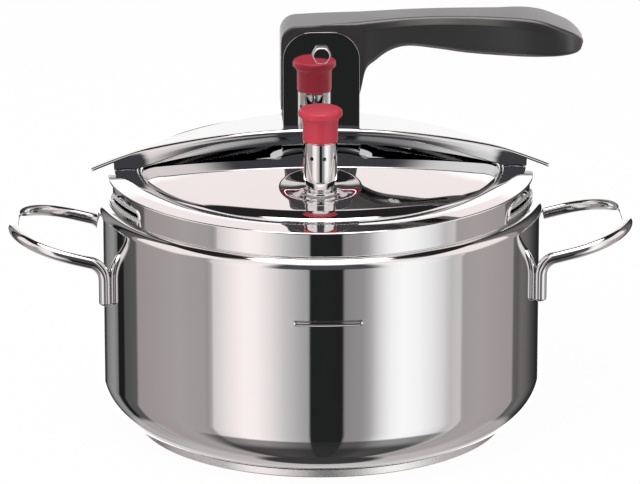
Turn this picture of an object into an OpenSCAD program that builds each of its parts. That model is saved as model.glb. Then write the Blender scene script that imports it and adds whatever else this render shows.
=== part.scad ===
// Stovetop pressure cooker: a pot with an in-turned rim, a lid that is drawn up
// against the rim from inside, a bridge across the rim and a cam lever that lifts the lid.
// Millimetres. The origin is the centre of the base's underside and +Z is up.
// The lever points along +X and the steam valve is on the -Y side.

/* [Pot] */
// Outer radius of the pot's wall
pot_r = 109.5; // [104:0.5:116]
// Height at which the straight wall ends
wall_top_z = 110.6; // [80:0.2:140]
// Radius of the curve between floor and wall
floor_corner_r = 24; // [18:0.5:28]
// Thickness of the pot's steel sheet
pot_sheet = 0.9; // [0.7:0.1:1.2]
// Radius of the shoulder above the wall
shoulder_r = 5; // [4:0.25:6.5]
// How far the collar stands in from the wall
collar_inset = 4.9; // [4:0.1:7]
// Height of the collar, from the shoulder to its rolled top
collar_h = 8.6; // [7.5:0.1:12]
// Depth of the groove between shoulder and collar
groove_depth = 0.7; // [0.2:0.1:1.2]

/* [Rim] */
// Radius of the roll at the rim's outer edge
rim_roll_r = 3.2; // [2.5:0.1:4]
// Width of the in-turned rim, from the collar to the opening
rim_w = 15.5; // [14:0.25:18]
// Rise of the rim towards the opening, in degrees
rim_slope = 10.8; // [8:0.2:13]
// Width of the folded hem at the opening
hem_w = 3.4; // [2:0.2:4]

/* [Collar windows] */
// Angle of each window's middle from the front or the back, in degrees
window_angle = 67.75; // [55:0.25:72]
// Length of a window's raised edge
window_l = 37; // [24:0.5:44]
// Height of a window's raised edge
window_h = 6.6; // [5:0.1:7]
// Height of a window's slot
window_slot_h = 3.2; // [2:0.1:4]
// How far a window's edge stands out of the collar
window_lip = 0.6; // [0.3:0.1:1]

/* [Level mark] */
// Height of the level mark's middle
mark_z = 84.5; // [60:0.5:100]
// Length of the level mark
mark_l = 32; // [20:0.5:50]
// Height of the level mark's groove
mark_h = 3; // [2:0.1:5]
// Depth of the level mark's groove
mark_depth = 0.4; // [0.2:0.05:0.6]

/* [Base] */
// Radius of the sandwich base
base_r = 91; // [80:0.5:96]
// Height of the sandwich base
base_h = 4; // [3:0.1:7]
// Thickness of the base's steel cap
base_cap_sheet = 0.8; // [0.5:0.1:1.2]

/* [Side handles] */
// Diameter of the handle rod
rod_d = 6; // [5:0.25:8]
// Distance of each leg from the handle's middle
leg_y = 36; // [30:0.5:42]
// Height of the legs' lower ends
leg_bottom_z = 70.4; // [55:0.2:80]
// Height at which a leg starts to bend outwards
leg_bend_z = 83.6; // [76:0.2:96]
// Radius of the bend, at the rod's centre
leg_bend_r = 9; // [6:0.5:11]
// Rise of the loop away from the pot, in degrees
loop_rise = 14; // [0:1:25]
// Length of the loop beyond the bend
loop_l = 38.65; // [34:0.25:50]
// Radius of the loop's corners, at the rod's centre
loop_corner_r = 30; // [10:0.5:29.5]
// How deep the weld sinks the rod's side
weld_depth = 0.5; // [0.2:0.1:1]

/* [Bridge] */
// Height of the bridge's crown above the rim's inner edge
bridge_rise = 22.9; // [20:0.2:30]
// Radius of the bridge's arch
bridge_arch_r = 284.7; // [270:0.5:330]
// Half of the bridge's width at the middle
bridge_half_w = 16.2; // [15.8:0.1:22]
// Radius of the bridge's curved sides in plan
bridge_side_r = 297; // [270:1:330]
// Thickness of the bridge's sheet
bridge_sheet = 1.5; // [1:0.1:2]
// Depth of the bridge's side flange at the middle
flange_depth = 8.3; // [6:0.1:8.8]
// Radius of the flange's lower edge, seen from the side
flange_edge_r = 320; // [300:1:380]
// Half of the width of the bridge's end tongues
tongue_half_w = 2.8; // [2:0.1:4]
// How far the tongues reach beyond the collar
tongue_reach = 7.4; // [3:0.2:12]
// Distance of the foot's middle from the opening's edge
foot_inset = 10.4; // [8:0.2:11]
// Length of each foot along the bridge
foot_l = 3; // [2:0.25:5]

/* [Lid] */
// Thickness of the lid's sheet
lid_sheet = 1; // [0.8:0.1:1.4]
// Gap all round between the lid's wall and the rim's opening
lid_gap = 0.9; // [0.5:0.1:2]
// Radius of the lid's dome
lid_dome_r = 365; // [330:5:450]
// Height of the crown above the lid's edge flange
lid_h = 18.1; // [17.5:0.1:20]
// Radius of the roll from dome to wall
lid_roll_r = 4; // [2.5:0.25:6]
// How far the lid's edge flange reaches under the rim
lid_overlap = 8.4; // [6:0.2:9]
// Radius of the flat seat in the lid's middle
lid_seat_r = 25; // [24.5:0.25:27]
// How far the lid drops when the lever is raised
lid_drop = 4; // [2:0.25:4.5]

/* [Gasket] */
// How far the gasket reaches past the lid's edge
gasket_reach = 2.7; // [1.5:0.1:3.2]
// Thickness of the gasket above the lid's edge
gasket_top_t = 1.9; // [1.2:0.1:3]
// Thickness of the gasket below the lid's edge
gasket_bottom_t = 1.6; // [1:0.1:2.5]
// Distance of the gasket's inner edge from the opening's edge
gasket_inset = 1.3; // [0.8:0.1:1.8]

/* [Lever bracket] */
// Thickness of the bracket's sheet
bracket_sheet = 2; // [1.5:0.1:2.5]
// Half of the bracket's outer width, across the pivot
bracket_half_y = 14.2; // [13.4:0.1:14.4]
// Half of a cheek's width
cheek_half_x = 18.6; // [16:0.1:20]
// Half of the foot plate's width
foot_plate_half_x = 19.4; // [19:0.1:20]
// Height of a cheek above the pivot
cheek_top_h = 10.9; // [8:0.1:16]
// Radius of a cheek's corners
cheek_corner_r = 14; // [6:0.5:15]
// Radius of the bend between foot plate and cheek
bracket_bend_r = 3; // [2.6:0.2:4]

/* [Lever pivot] */
// Diameter of the pivot bolt
bolt_d = 5; // [4:0.1:6]
// Width across the flats of the bolt's head and nut
bolt_flats = 8; // [7:0.1:10]
// Height of the bolt's head
bolt_head_h = 3.5; // [2.5:0.1:5]
// Height of the nut
bolt_nut_h = 4; // [3:0.1:6]
// Outer diameter of the bush that the lever turns on
bush_d = 8; // [7.2:0.1:10]
// Outer diameter of the washer under the nut
washer_d = 10; // [9:0.5:14]
// Thickness of the washer
washer_t = 1; // [0.6:0.1:1.6]

/* [Lever] */
// Radius of the cam at its highest point
cam_r = 37.1; // [34:0.1:42]
// Half of the lever's width at its root
root_half_w = 11.8; // [9:0.1:11.9]
// Half of the root's length
root_half_x = 19.5; // [17:0.1:22]
// Radius of the corner at the root's top
root_corner_r = 8; // [4:0.5:12]
// Length of the lever from its pivot
lever_l = 127.6; // [110:0.2:145]
// Half of the steel core's width
core_half_w = 4; // [3:0.1:6]
// Height of the core's bar
core_bar_h = 5; // [4:0.1:5.4]
// Length of the core's bar from the pivot
core_bar_l = 86; // [70:0.5:92]
// Distances of the two screws from the pivot
screw_x1 = 46; // [40:0.5:52]
// Distance of the second screw from the pivot
screw_x2 = 78; // [66:0.5:80]
// Diameter of the screws
screw_d = 4; // [3:0.1:4.5]

/* [Steam valve] */
// Sideways place of the steam valve
valve_x = -2; // [-4:0.25:4]
// Distance of the steam valve from the lid's middle
valve_r = 57; // [54:0.5:59]
// Radius of the dish that the valve stands in
dish_r = 19.65; // [18:0.1:21]
// Depth of the dish
dish_depth = 5.4; // [4:0.1:6]
// Radius of the dish's flat floor
dish_floor_r = 9.5; // [9:0.1:11]
// Radius of the valve's tube
tube_r = 8.05; // [7.6:0.05:8.4]
// Radius of the valve's neck
neck_r = 5.8; // [5.4:0.1:6.4]
// Length of the valve's neck
neck_h = 4.2; // [3:0.1:6]
// Length of the tube below the cap
tube_h = 20.1; // [18:0.1:24]
// Number of holes around the tube
tube_holes = 8; // [4:1:10]
// Diameter of the holes around the tube
tube_hole_d = 2; // [1:0.1:2.5]
// Outer radius of the cap's skirt
cap_skirt_r = 8.5; // [8.3:0.05:9]
// Length of the cap's skirt
cap_skirt_h = 9; // [8.2:0.1:12]
// Radius of the cap's head
cap_head_r = 10.6; // [9.8:0.1:12]
// Height of the cap's head
cap_head_h = 6.8; // [6:0.1:9]
// How far the cap lifts
cap_lift = 4; // [1:0.25:4.5]

/* [Safety valve] */
// Distance of the safety valve from the lid's middle
safety_r = 57; // [54:0.5:59]
// Radius of the safety valve's body
safety_body_r = 6; // [5.6:0.1:7]
// Height of the safety valve's body
safety_body_h = 8; // [7:0.1:10]

/* [Hidden] */

// Colours
steel_c = "#c9ccd0";
aluminium_c = "#a8abae";
black_c = "#2b2a2c";
red_c = "#c3202c";
silicone_c = "#d8d8d4";

// Fits
fit = 0.05;          // radial play of parts that slide or turn on each other
seat_gap = 0.3;      // a soft or rocking part lies this far from its seat
foot_gap = 0.05;     // the bridge's feet lie this far above the rim
slot_gap = 0.3;      // play of the cheeks in the bridge's slots
lid_clear = 0.5;     // the bridge's flanges lie this far above the lid's dome
big = 400;           // longer than any cut needs
eps = 0.01;          // overlap of joined shapes
large_fn = 720;      // facets of very large circles
$fn = 96;

// Pot and rim
collar_r = pot_r - collar_inset;
opening_r = collar_r - rim_w;
shoulder_top_z = wall_top_z + shoulder_r;
collar_top_z = shoulder_top_z + collar_h;
groove_r = collar_r - groove_depth;
roll_x = collar_r - rim_roll_r;
function rim_line_z(r, depth) =
    collar_top_z + (rim_roll_r - depth) / cos(rim_slope) - (r - roll_x) * tan(rim_slope);
rim_edge_z = rim_line_z(opening_r, 0);
groove_h = 0.6;
groove_slope_h = 3;
window_z = (shoulder_top_z + collar_top_z) / 2 + 1.1;

// Side handles
rod_r = rod_d / 2;
leg_axis_r = pot_r + rod_r - weld_depth;
leg_x = sqrt(pow(leg_axis_r, 2) - pow(leg_y, 2));
loop_start_x = leg_x + leg_bend_r * (1 - sin(loop_rise));
loop_start_z = leg_bend_z + leg_bend_r * cos(loop_rise);

// Bridge
bridge_top_z = rim_edge_z + bridge_rise;
arch_z = bridge_top_z - bridge_arch_r;
flange_z = bridge_top_z - flange_depth;
foot_x = opening_r + foot_inset;
tongue_x = collar_r + tongue_reach;

// Lid
lid_wall_r = opening_r - lid_gap;
lid_edge_r = opening_r + lid_overlap;
lid_edge_z = rim_line_z(lid_edge_r, pot_sheet) - seat_gap - gasket_top_t;
crown_z = lid_edge_z + lid_h;
dome_z = crown_z - lid_dome_r;
lid_roll_x = lid_wall_r - lid_roll_r;
lid_roll_z = dome_z + sqrt(pow(lid_dome_r - lid_roll_r, 2) - pow(lid_roll_x, 2));
lid_seat_z = crown_z - 0.2;
function dome_top_z(r) = dome_z + sqrt(pow(lid_dome_r, 2) - pow(r, 2));

// Dishes in the lid
dish_s = ((pow(dish_r, 2) - pow(dish_floor_r, 2)) / dish_depth + dish_depth) / 2;
dish_sphere_r = sqrt(pow(dish_s, 2) + pow(dish_floor_r, 2));
valve_floor_z = dome_top_z(valve_r) - dish_depth;
safety_floor_z = dome_top_z(safety_r) - dish_depth;

// Lever and its pivot
pivot_z = bridge_top_z + seat_gap + cam_r;
bolt_r = bolt_d / 2;
bush_r = bush_d / 2;
bracket_inner_y = bracket_half_y - bracket_sheet;
cheek_top_z = pivot_z + cheek_top_h;
cam_fall = lid_drop / 90;
cam_relief = 0.5;
core_bar_z = 4.9;
core_half_x = 15;
core_root_top = core_bar_z + core_bar_h - 0.6;
core_gap = 0.1;
core_heel_z = 17 - cam_r;
screw_head_h = 2;
screw_head_r = 3.6;
screw_l = 8.6;

// Heights of the steam valve, from the dish's floor
washer_h = 0.5;
washer_inset = 0.5;
base_flange_h = 1.2;
base_flange_r = 8.15;
stem_r = 4.9;
stem_hole_r = 5;
valve_nut_h = 5;
valve_nut_flats = 14;
stem_below = 7;
boss_r = 4.8;
boss_h = 3.6;
nozzle_r = 3;
nozzle_h = 2.6;
steam_bore_r = 1.8;
neck_top = washer_h + base_flange_h + neck_h;
neck_bead_drop = 2.5;
neck_bead_out = 0.6;
neck_bead_h = 0.8;
tube_step = neck_top + tube_h;
taper_h = 3.6;
taper_drop = 1.3;
tube_hole_h = 13.1;
tube_hole_turn = 0.35;
seal_bottom = neck_top + boss_h + nozzle_h + seat_gap;
seal_h = 1.5;
seal_r = 4.2;
plunger_r = 5.2;
plunger_h = 3.2;
plunger_stem_r = 2;
plunger_top = seal_bottom + seal_h + plunger_h;
guide_h = 1.8;
step_w = 0.85;
step_gap = 0.5;
tube_wall_t = 0.9;
cap_crown_t = 3.8;
stem_grip_h = 1.2;
guide_engaged = 2.7;  // length of the guide that is still in the lifted cap
guide_overlap = cap_lift + guide_engaged;
guide_top = tube_step + guide_overlap;
guide_r = tube_r - step_w;
chamber_r = guide_r - tube_wall_t;
wire_r = 0.45;
spring_play = 0.4;
valve_spring_turns = 7;
safety_spring_turns = 4;
cap_bottom = tube_step + step_gap;
cap_head_z = cap_bottom + cap_skirt_h;
cap_top = cap_head_z + cap_head_h;
cap_hole_top = cap_top - cap_crown_t;
cap_hollow_top = cap_hole_top - stem_grip_h;

// Heights of the safety valve, from the dish's floor
safety_stem_r = 3.9;
safety_hole_gap = 0.1;
safety_nut_flats = 12;
safety_bore_r = 1.2;
pin_proud = 1;
safety_chamber_r = safety_body_r - 2;
safety_disc_h = 1.5;
safety_disc_r = safety_chamber_r - 0.4;
safety_pin_r = 1.5;
safety_roof_h = 1.6;
safety_seat = washer_h + base_flange_h;
safety_top = safety_seat + safety_body_h;

// ---------------------------------------------------------------- helpers

// A solid ring or tube that stands on z = 0.
module tube_ring(outer_r, inner_r, h) {
    difference() {
        cylinder(r = outer_r, h = h);
        translate([0, 0, -1]) cylinder(r = inner_r, h = h + 2);
    }
}

// A six-sided prism, flats facing +-X, that stands on z = 0.
module hex_prism(flats, h) {
    cylinder(r = flats / 2 / cos(30), h = h, $fn = 6);
}

// A flat bar with round ends, lying along X, l long and h high.
module stadium_2d(l, h) {
    square([l - h, h], center = true);
    for (side = [-1, 1]) translate([side * (l - h) / 2, 0]) circle(d = h);
}

// A solid through a list of closed rings that have the same number of points.
module loft(rings) {
    n = len(rings[0]);
    m = len(rings);
    polyhedron(
        points = [for (ring = rings) each ring],
        faces = concat(
            [[for (j = [n - 1 : -1 : 0]) j]],
            [for (i = [0 : m - 2], j = [0 : n - 1])
                let (a = i * n + j, b = i * n + (j + 1) % n) [a, b, b + n]],
            [for (i = [0 : m - 2], j = [0 : n - 1])
                let (a = i * n + j, b = i * n + (j + 1) % n) [a, b + n, a + n]],
            [[for (j = [0 : n - 1]) (m - 1) * n + j]]));
}

// A round wire wound upwards from z = 0, with its first and last turns closed.
module coil_spring(mean_r, h, turns) {
    sides = 8;
    steps = 20;
    closed = 2 * wire_r + 0.05;
    rise = h - 2 * wire_r;
    function wire_z(t) = t < 1 ? closed * t
        : t > turns - 1 ? rise - closed * (turns - t)
        : closed + (rise - 2 * closed) * (t - 1) / (turns - 2);
    loft([for (i = [0 : turns * steps])
        let (t = i / steps, a = 360 * t)
        [for (j = [0 : sides - 1])
            let (b = 360 * j / sides, r = mean_r + wire_r * cos(b))
            [r * cos(a), r * sin(a), wire_r + wire_z(t) + wire_r * sin(b)]]]);
}

// ---------------------------------------------------------------- pot

// Half section of everything inside the pot's outer skin, drawn in by depth.
module pot_profile_2d(depth) {
    translate([pot_r - floor_corner_r, base_h + floor_corner_r])
        circle(r = floor_corner_r - depth);
    translate([0, base_h + depth])
        square([pot_r - floor_corner_r, wall_top_z - base_h - depth]);
    translate([0, base_h + floor_corner_r])
        square([pot_r - depth, wall_top_z - base_h - floor_corner_r]);
    translate([pot_r - shoulder_r, wall_top_z]) circle(r = shoulder_r - depth);
    translate([0, wall_top_z - 1]) square([pot_r - shoulder_r, shoulder_r + 1 - depth]);
    polygon([
        [0, wall_top_z],
        [groove_r - depth, wall_top_z],
        [groove_r - depth, shoulder_top_z + groove_h],
        [collar_r - depth, shoulder_top_z + groove_h + groove_slope_h],
        [collar_r - depth, collar_top_z],
        [roll_x + (rim_roll_r - depth) * sin(rim_slope),
            collar_top_z + (rim_roll_r - depth) * cos(rim_slope)],
        [0, rim_line_z(0, depth)]]);
    translate([roll_x, collar_top_z]) circle(r = rim_roll_r - depth);
}

// The rim's folded edge, with its round nose at the opening.
module hem_2d() {
    nose_x = opening_r + pot_sheet;
    hem_x = opening_r + hem_w;
    polygon([
        [nose_x, rim_line_z(nose_x, 0)],
        [hem_x, rim_line_z(hem_x, 0)],
        [hem_x, rim_line_z(hem_x, 2 * pot_sheet)],
        [nose_x, rim_line_z(nose_x, 2 * pot_sheet)]]);
    translate([nose_x, rim_line_z(nose_x, pot_sheet)]) circle(r = pot_sheet);
}

// A copy of the children on the collar at each of the four windows.
module at_windows() {
    for (side = [-1, 1], end = [0, 180])
        rotate([0, 0, end + side * window_angle])
            translate([0, 0, window_z]) rotate([90, 0, 0]) children();
}

module pot_body() {
    color(steel_c) difference() {
        union() {
            rotate_extrude() {
                difference() {
                    pot_profile_2d(0);
                    pot_profile_2d(pot_sheet);
                    translate([0, wall_top_z]) square([opening_r + pot_sheet, big]);
                }
                hem_2d();
            }
            intersection() {
                translate([0, 0, window_z - window_h])
                    tube_ring(collar_r + window_lip, collar_r - pot_sheet / 2, 2 * window_h);
                at_windows() linear_extrude(big) stadium_2d(window_l, window_h);
            }
            intersection() {
                translate([0, 0, mark_z - mark_h])
                    tube_ring(pot_r - pot_sheet / 2, pot_r - pot_sheet - mark_depth, 2 * mark_h);
                translate([0, 0, mark_z]) rotate([90, 0, 0])
                    linear_extrude(big) stadium_2d(mark_l + pot_sheet, mark_h + pot_sheet);
            }
        }
        at_windows() linear_extrude(big)
            stadium_2d(window_l - window_h + window_slot_h, window_slot_h);
        intersection() {
            translate([0, 0, mark_z - mark_h])
                tube_ring(pot_r + 1, pot_r - mark_depth, 2 * mark_h);
            translate([0, 0, mark_z]) rotate([90, 0, 0])
                linear_extrude(big) stadium_2d(mark_l, mark_h);
        }
    }
}

module base_core() {
    color(aluminium_c) translate([0, 0, base_cap_sheet])
        cylinder(r = base_r - base_cap_sheet - fit, h = base_h - base_cap_sheet);
}

module base_cap() {
    color(steel_c) difference() {
        rotate_extrude() {
            square([base_r - base_cap_sheet, base_cap_sheet]);
            translate([0, base_cap_sheet]) square([base_r, base_h - base_cap_sheet]);
            translate([base_r - base_cap_sheet, base_cap_sheet]) circle(r = base_cap_sheet);
        }
        translate([0, 0, base_cap_sheet]) cylinder(r = base_r - base_cap_sheet, h = base_h);
    }
}

// A station of the handle rod: its centre and the two directions across the rod.
// On a leg and its bend, lean is the rod's direction above the horizontal.
function leg_station(side, x, z, lean) =
    [[x, side * leg_y, z], [0, side, 0], [-sin(lean), 0, cos(lean)]];
function bend_station(side, lean) = leg_station(side,
    leg_x + leg_bend_r * (1 - sin(lean)), leg_bend_z + leg_bend_r * cos(lean), lean);
// On the loop's corner, turn is the angle from the outward direction.
function corner_station(side, turn) =
    let (out = loop_l - loop_corner_r + loop_corner_r * cos(turn))
    [[loop_start_x + out * cos(loop_rise),
        side * (leg_y - loop_corner_r) + loop_corner_r * sin(turn),
        loop_start_z + out * sin(loop_rise)],
        [cos(turn) * cos(loop_rise), sin(turn), cos(turn) * sin(loop_rise)],
        [-sin(loop_rise), 0, cos(loop_rise)]];

module handle_rod() {
    sides = 20;
    bend_steps = 8;
    corner_steps = 10;
    lean_step = (90 - loop_rise) / bend_steps;
    stations = concat(
        [leg_station(1, leg_x, leg_bottom_z, 90)],
        [for (k = [0 : bend_steps]) bend_station(1, 90 - k * lean_step)],
        [for (k = [0 : corner_steps]) corner_station(1, 90 - k * 90 / corner_steps)],
        [for (k = [0 : corner_steps]) corner_station(-1, -k * 90 / corner_steps)],
        [for (k = [bend_steps : -1 : 0]) bend_station(-1, 90 - k * lean_step)],
        [leg_station(-1, leg_x, leg_bottom_z, 90)]);
    loft([for (s = stations)
        [for (j = [0 : sides - 1])
            s[0] + rod_r * (cos(360 * j / sides) * s[1] + sin(360 * j / sides) * s[2])]]);
}

module side_handle(side) {
    color(steel_c) rotate([0, 0, side < 0 ? 180 : 0]) difference() {
        handle_rod();
        cylinder(r = pot_r + fit, h = wall_top_z);
    }
}

module side_handle_left() { side_handle(-1); }

module side_handle_right() { side_handle(1); }

// ---------------------------------------------------------------- bridge

// The bridge's lens-shaped plan, drawn in by depth.
module bridge_lens_2d(depth) {
    intersection_for(side = [-1, 1])
        translate([0, side * (bridge_side_r - bridge_half_w)])
            circle(r = bridge_side_r - depth, $fn = large_fn);
}

// The space under the bridge's arch, at a depth below its top.
module under_arch(depth) {
    translate([0, big / 2, arch_z]) rotate([90, 0, 0])
        cylinder(r = bridge_arch_r - depth, h = big, $fn = large_fn);
}

module bridge_blank() {
    intersection() {
        difference() {
            under_arch(0);
            under_arch(bridge_sheet);
        }
        translate([0, 0, rim_edge_z - bridge_rise]) linear_extrude(3 * bridge_rise) {
            bridge_lens_2d(0);
            square([2 * tongue_x, 2 * tongue_half_w], center = true);
        }
    }
    difference() {
        intersection() {
            under_arch(bridge_sheet / 2);
            translate([0, 0, rim_edge_z - bridge_rise]) linear_extrude(3 * bridge_rise)
                intersection() {
                    difference() {
                        bridge_lens_2d(0);
                        bridge_lens_2d(bridge_sheet);
                    }
                    square([2 * foot_x, big], center = true);
                }
        }
        translate([0, big / 2, flange_z - flange_edge_r]) rotate([90, 0, 0])
            cylinder(r = flange_edge_r, h = big, $fn = large_fn);
    }
    for (side = [-1, 1]) intersection() {
        under_arch(bridge_sheet / 2);
        translate([side * foot_x - foot_l / 2, -tongue_half_w, rim_edge_z - bridge_rise])
            cube([foot_l, 2 * tongue_half_w, 3 * bridge_rise]);
    }
}

module bridge() {
    slot_x = cheek_half_x + slot_gap;
    slot_y = bracket_sheet + 2 * slot_gap;
    color(steel_c) difference() {
        bridge_blank();
        for (side = [-1, 1])
            translate([-slot_x, side * (bracket_half_y - bracket_sheet / 2) - slot_y / 2, 0])
                cube([2 * slot_x, slot_y, bridge_top_z + 1]);
        translate([-foot_plate_half_x - slot_gap, -bracket_half_y - slot_gap, 0])
            cube([2 * (foot_plate_half_x + slot_gap), 2 * (bracket_half_y + slot_gap),
                lid_seat_z + bracket_bend_r + 2 * slot_gap]);
        rotate_extrude() lid_profile_2d(-lid_clear, lid_edge_z);
        rotate_extrude() polygon([
            [opening_r - 1, 0],
            [collar_r + 1, 0],
            [collar_r + 1, rim_line_z(collar_r + 1, 0) + foot_gap],
            [opening_r - 1, rim_line_z(opening_r - 1, 0) + foot_gap]]);
    }
}

// ---------------------------------------------------------------- lid

// Half section of everything inside the lid's outer skin, drawn in by depth.
module lid_profile_2d(depth, bottom_z) {
    touch_x = lid_roll_x * (lid_dome_r - depth) / (lid_dome_r - lid_roll_r);
    wall_x = lid_wall_r - depth;
    intersection() {
        translate([0, dome_z]) circle(r = lid_dome_r - depth, $fn = large_fn);
        translate([0, bottom_z]) square([touch_x, crown_z - depth - bottom_z]);
    }
    intersection() {
        translate([lid_roll_x, lid_roll_z]) circle(r = lid_roll_r - depth);
        translate([0, bottom_z]) square([wall_x, crown_z - bottom_z]);
    }
    translate([0, bottom_z]) square([wall_x, lid_roll_z - bottom_z]);
}

// The inside of a dish, with its flat floor at z = 0, drawn out by depth.
module dish_space(depth) {
    intersection() {
        translate([0, 0, dish_s]) sphere(r = dish_sphere_r + depth);
        translate([0, 0, -depth]) cylinder(r = dish_sphere_r + 2, h = dish_depth + 6);
    }
}

module at_dishes() {
    translate([valve_x, -valve_r, valve_floor_z]) children();
    translate([0, safety_r, safety_floor_z]) children();
}

module lid() {
    bottom_z = lid_edge_z - lid_sheet;
    color(steel_c) difference() {
        union() {
            difference() {
                rotate_extrude() {
                    difference() {
                        union() {
                            lid_profile_2d(0, bottom_z);
                            translate([0, bottom_z]) square([lid_edge_r, lid_sheet]);
                        }
                        lid_profile_2d(lid_sheet, bottom_z - 1);
                    }
                }
                at_dishes() dish_space(0);
            }
            intersection() {
                rotate_extrude() lid_profile_2d(0, bottom_z);
                at_dishes() difference() {
                    dish_space(lid_sheet);
                    dish_space(0);
                }
            }
            translate([0, 0, lid_seat_z - lid_sheet])
                cylinder(r = lid_seat_r, h = lid_sheet);
        }
        translate([0, 0, lid_seat_z]) cylinder(r = lid_seat_r, h = 5);
        translate([valve_x, -valve_r, 0]) cylinder(r = stem_hole_r, h = crown_z);
        translate([0, safety_r, 0]) cylinder(r = safety_stem_r + safety_hole_gap, h = crown_z);
    }
}

module lid_gasket() {
    inner_r = opening_r + gasket_inset;
    outer_r = lid_edge_r + gasket_reach;
    hem_end = opening_r + hem_w + 0.5;
    bottom_z = lid_edge_z - lid_sheet - gasket_bottom_t;
    inner_chamfer = 0.6;
    outer_chamfer = 1.4;
    color(silicone_c) difference() {
        rotate_extrude() polygon([
            [inner_r, bottom_z + inner_chamfer],
            [inner_r + inner_chamfer, bottom_z],
            [outer_r - outer_chamfer, bottom_z],
            [outer_r, bottom_z + outer_chamfer],
            [outer_r, rim_line_z(outer_r, pot_sheet) - seat_gap],
            [hem_end, rim_line_z(hem_end, pot_sheet) - seat_gap],
            [hem_end - 0.3, rim_line_z(hem_end, 2 * pot_sheet) - seat_gap],
            [inner_r, rim_line_z(inner_r, 2 * pot_sheet) - seat_gap]]);
        translate([0, 0, lid_edge_z - lid_sheet - fit])
            cylinder(r = lid_edge_r + fit, h = lid_sheet + 2 * fit);
    }
}

// ---------------------------------------------------------------- bracket and pivot

// The bracket's U section, drawn in by depth, from its foot up to height h.
module bracket_section_2d(depth, h) {
    half_y = bracket_half_y - depth;
    bend_r = bracket_bend_r - depth;
    translate([-half_y, bracket_bend_r]) square([2 * half_y, h - bracket_bend_r]);
    translate([-half_y + bend_r, depth]) square([2 * (half_y - bend_r), h - depth]);
    for (side = [-1, 1])
        translate([side * (half_y - bend_r), bracket_bend_r]) circle(r = bend_r);
}

module lever_bracket() {
    h = cheek_top_z - lid_seat_z;
    corner_x = cheek_half_x - cheek_corner_r;
    color(steel_c) difference() {
        intersection() {
            translate([-big / 2, 0, lid_seat_z]) rotate([90, 0, 90]) linear_extrude(big)
                difference() {
                    bracket_section_2d(0, h);
                    bracket_section_2d(bracket_sheet, h + 1);
                }
            translate([0, bracket_half_y + 1, lid_seat_z]) rotate([90, 0, 0])
                linear_extrude(2 * bracket_half_y + 2) {
                    translate([-foot_plate_half_x, 0])
                        square([2 * foot_plate_half_x, bracket_bend_r]);
                    translate([-cheek_half_x, 0]) square([2 * cheek_half_x, h - cheek_corner_r]);
                    translate([-corner_x, 0]) square([2 * corner_x, h]);
                    for (side = [-1, 1])
                        translate([side * corner_x, h - cheek_corner_r])
                            circle(r = cheek_corner_r);
                }
        }
        translate([0, big / 2, pivot_z]) rotate([90, 0, 0]) cylinder(r = bolt_r + fit, h = big);
    }
}

// Places the children on the pivot's axis, with +Z turned to point along -Y.
module on_pivot(y) {
    translate([0, y, pivot_z]) rotate([90, 0, 0]) children();
}

module pivot_bolt() {
    shank_l = 2 * bracket_half_y + washer_t + bolt_nut_h + 1;
    color(steel_c) {
        on_pivot(-bracket_half_y) intersection() {
            rotate([0, 0, 30]) hex_prism(bolt_flats, bolt_head_h);
            cylinder(r1 = bolt_flats, r2 = bolt_flats * 0.46, h = bolt_head_h + 0.01);
        }
        on_pivot(-bracket_half_y + shank_l) cylinder(r = bolt_r, h = shank_l);
    }
}

module pivot_bush() {
    color(steel_c) on_pivot(bracket_inner_y - fit)
        tube_ring(bush_r, bolt_r + fit, 2 * (bracket_inner_y - fit));
}

module pivot_washer() {
    color(steel_c) on_pivot(bracket_half_y + washer_t)
        tube_ring(washer_d / 2, bolt_r + fit, washer_t);
}

module pivot_nut() {
    color(steel_c) on_pivot(bracket_half_y + washer_t + bolt_nut_h) difference() {
        hex_prism(bolt_flats, bolt_nut_h);
        translate([0, 0, -1]) cylinder(r = bolt_r + fit, h = bolt_nut_h + 2);
    }
}

// ---------------------------------------------------------------- lever

// The cam's radius falls evenly with the angle from straight below the pivot towards the
// -X side, so that the lid drops in step with the lever.
function cam_radius(relief, a) = cam_r - relief - cam_fall * a;
function cam_end_radius(relief, half_x) = cam_radius(relief, asin(half_x / (cam_r - relief)));
// Points along the cam, from the -X side of the root to straight below the pivot.
function cam_points(relief, half_x) = concat(
    [[-half_x, -sqrt(pow(cam_end_radius(relief, half_x), 2) - pow(half_x, 2))]],
    [for (a = [60 : -1.5 : 0])
        let (r = cam_radius(relief, a))
        if (r * sin(a) < half_x - 0.3) [-r * sin(a), -r * cos(a)]]);
// The root's rounded lower edge on the +X side: [distance, height above the cam's lowest point].
heel = [[6.5, 0.3], [10.5, 1.8], [15, 5.4], [17.5, 9.2]];
function heel_points(relief, half_x) =
    [for (h = heel) [h[0] * half_x / root_half_x, h[1] - cam_r + relief]];

// Height of the root's top at a distance from the pivot, with its rounded corner.
root_top = 13.3;
function root_top_z(x) = let (d = max(root_corner_r - root_half_x - x, 0))
    root_top - root_corner_r + sqrt(max(pow(root_corner_r, 2) - d * d, 0))
    + max(root_half_x - root_corner_r + x, 0) * 0.048;

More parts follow.
